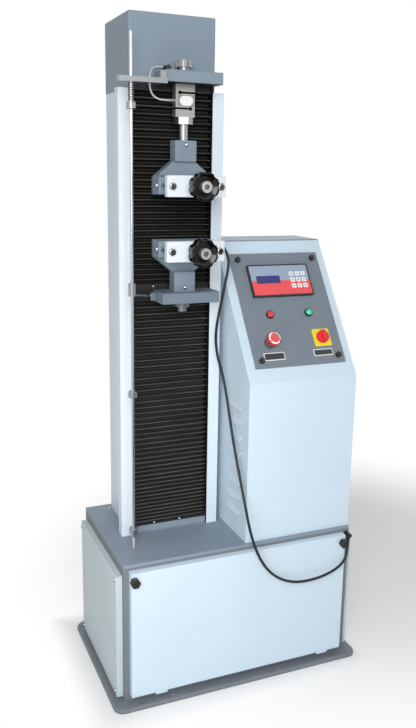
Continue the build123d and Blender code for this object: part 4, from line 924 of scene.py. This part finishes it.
def stop_finish(x, v):
    """White ring with three gaps: the sine of three times the angle is lowest at each gap. Inside the ring
    the crown is a lighter red, a painted highlight.
    """
    finish = Finish("stop_finish", Coat_Weight=0.3)
    centre = Vector(panel.at(x, v, 0))
    aside = finish.along(panel.right, centre)
    climb = finish.along(panel.up, centre)
    reach = (aside * aside + climb * climb).root()
    crown = finish.along(panel.out, centre) > crown_height
    arcs = (climb.turn_from(aside) * 3).sine() > gap_level
    wear = finish.noise(scale=80, detail=4)
    ring = (reach > ring_inner) * (reach < ring_outer) * crown * arcs
    # Inside the white ring the crown is a lighter red: a painted highlight on the button's top.
    red = finish.mix((reach < ring_inner) * crown, rgb("#D3222C"), rgb("#E0565B"))
    worn = finish.mix(wear * 0.15, red, rgb("#9A2428"))
    finish.feed("Base Color", finish.mix(ring, worn, rgb("#F6F6F6")))
    finish.feed("Roughness", 0.28 + wear * 0.12)
    return finish.bump(wear, distance=0.04 * mm, strength=0.2)


coat(stop_finish(stop_x, stop_v), "estop_head")
coat(moulded("switch_red", "#E8343A", rough=0.3, grain_scale=900, worn="#A3262A"), "selector_handle")
coat(moulded("lamp_bezel", "#141516", rough=0.32), "pilot_lamps")
lens_dome = np.array([(0, 10.0), (9.4, 10.0), (9.4, 10.6), (8.6, 11.8), (6.6, 12.8), (3.6, 13.4), (0, 13.6)])
for name, colour, x in (("red", "#F0353A", 125), ("green", "#45E3AE", 252.5)):
    lens_finish = moulded(name + "_lens_finish", colour, rough=0.1, grain_scale=300, worn=colour)
    turned(name + "_lamp_lens", panel, x * mm, lamp_v, lens_dome * mm, lens_finish, "frame", "lamp_lens",
           sides=48)
    print(name, "lens placed")

# %% [markdown]
# Each grip has a screw in its neck and one in the side of its jaw. A half sphere would stand too proud, so a
# screw is a turned dome, stood on the face that carries it and riding with that piece.

# %% Grip screws
dome = np.array([(0, 5.6), (2.4, 5.4), (4.4, 4.4), (5.8, 2.6), (6.4, 0.6), (6.4, 0.0), (0, 0.0)]) * mm
neck_setback, neck_inset = 3 * mm, 11 * mm
for grip, carrier, way in (("upper", "frame", 1), ("lower", "crosshead", -1)):
    low, high = corners(grip + "_grip_body")
    neck_front = facing_front(0, low[1] + neck_setback, 0)
    neck_end = high[2] if way > 0 else low[2]
    turned(grip + "_neck_screw", neck_front, (low[0] + high[0]) / 2, neck_end - way * neck_inset, dome,
           bright_nickel, carrier, "nickel_steel")
    low, high = corners(grip + "_grip_jaw")
    jaw_side = Face((low[0], 0, 0), (0, -1, 0), (0, 0, 1), (-1, 0, 0))
    turned(grip + "_jaw_screw", jaw_side, -(low[1] + high[1]) / 2, (low[2] + high[2]) / 2, dome * 1.1,
           bright_nickel, grip + "_jaw", "nickel_steel")
    print(grip, "grip screws placed")

# %% [markdown]
# The load cell has a grey cover plate with a white oval on it. The oval could be a mask in the cover's paint,
# but would then have no edge, so it is a rounded plate with corners nearly half as large as its height.

# %% Load cell plates
cell_x, cell_z = -135 * mm, middle_of("load_cell")[2]
cover_size, cover_front, oval_size, oval_front = (47 * mm, 28 * mm), 0.8 * mm, (38 * mm, 25 * mm), 1.5 * mm
cell_front = facing_front(0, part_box("load_cell")[0][1], 0)
cover_grey = moulded("cell_cover_grey", "#8D9093", rough=0.4)
plate("cell_cover_plate", cell_front, cell_x, cell_z, *cover_size, 0, cover_front, cover_grey, "frame",
      "cell_alloy", corner=2 * mm, edge=0.3 * mm)
plate("cell_oval_plate", cell_front, cell_x, cell_z, *oval_size, cover_front, oval_front, label_white,
      "frame", "cell_alloy", corner=12.4 * mm, edge=0.3 * mm)
print("load cell plates at", cell_x, round(cell_z, 4))

# %% [markdown]
# Two painted screws sit on the plinth's front rim, and a bright one stands at the column's foot. They could
# be bumps in the paint, but would then vanish in a low view, so they are the same dome on a level face.

# %% Base screws
rim_height, rim_y, foot_screw = 12 * mm, -231 * mm, (-291 * mm, 175 * mm)


def facing_up(height):
    """A level face at a height."""
    return Face((0, 0, height), (1, 0, 0), (0, 1, 0), (0, 0, 1))


for side, x in (("left", -220), ("right", 119)):
    turned(side + "_rim_screw", facing_up(rim_height), x * mm, rim_y, dome * 0.8, base_shade_paint, "frame",
           "grey_paint")
    print(side, "rim screw at", x)
work_surface = facing_up(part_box("base_top_plate")[1][2])
turned("column_foot_screw", work_surface, *foot_screw, dome * 0.7, bright_nickel, "frame", "nickel_steel")

# %% [markdown]
# Last, the view layer is brought up to date.

# %% Update the view layer
bpy.context.view_layer.update()
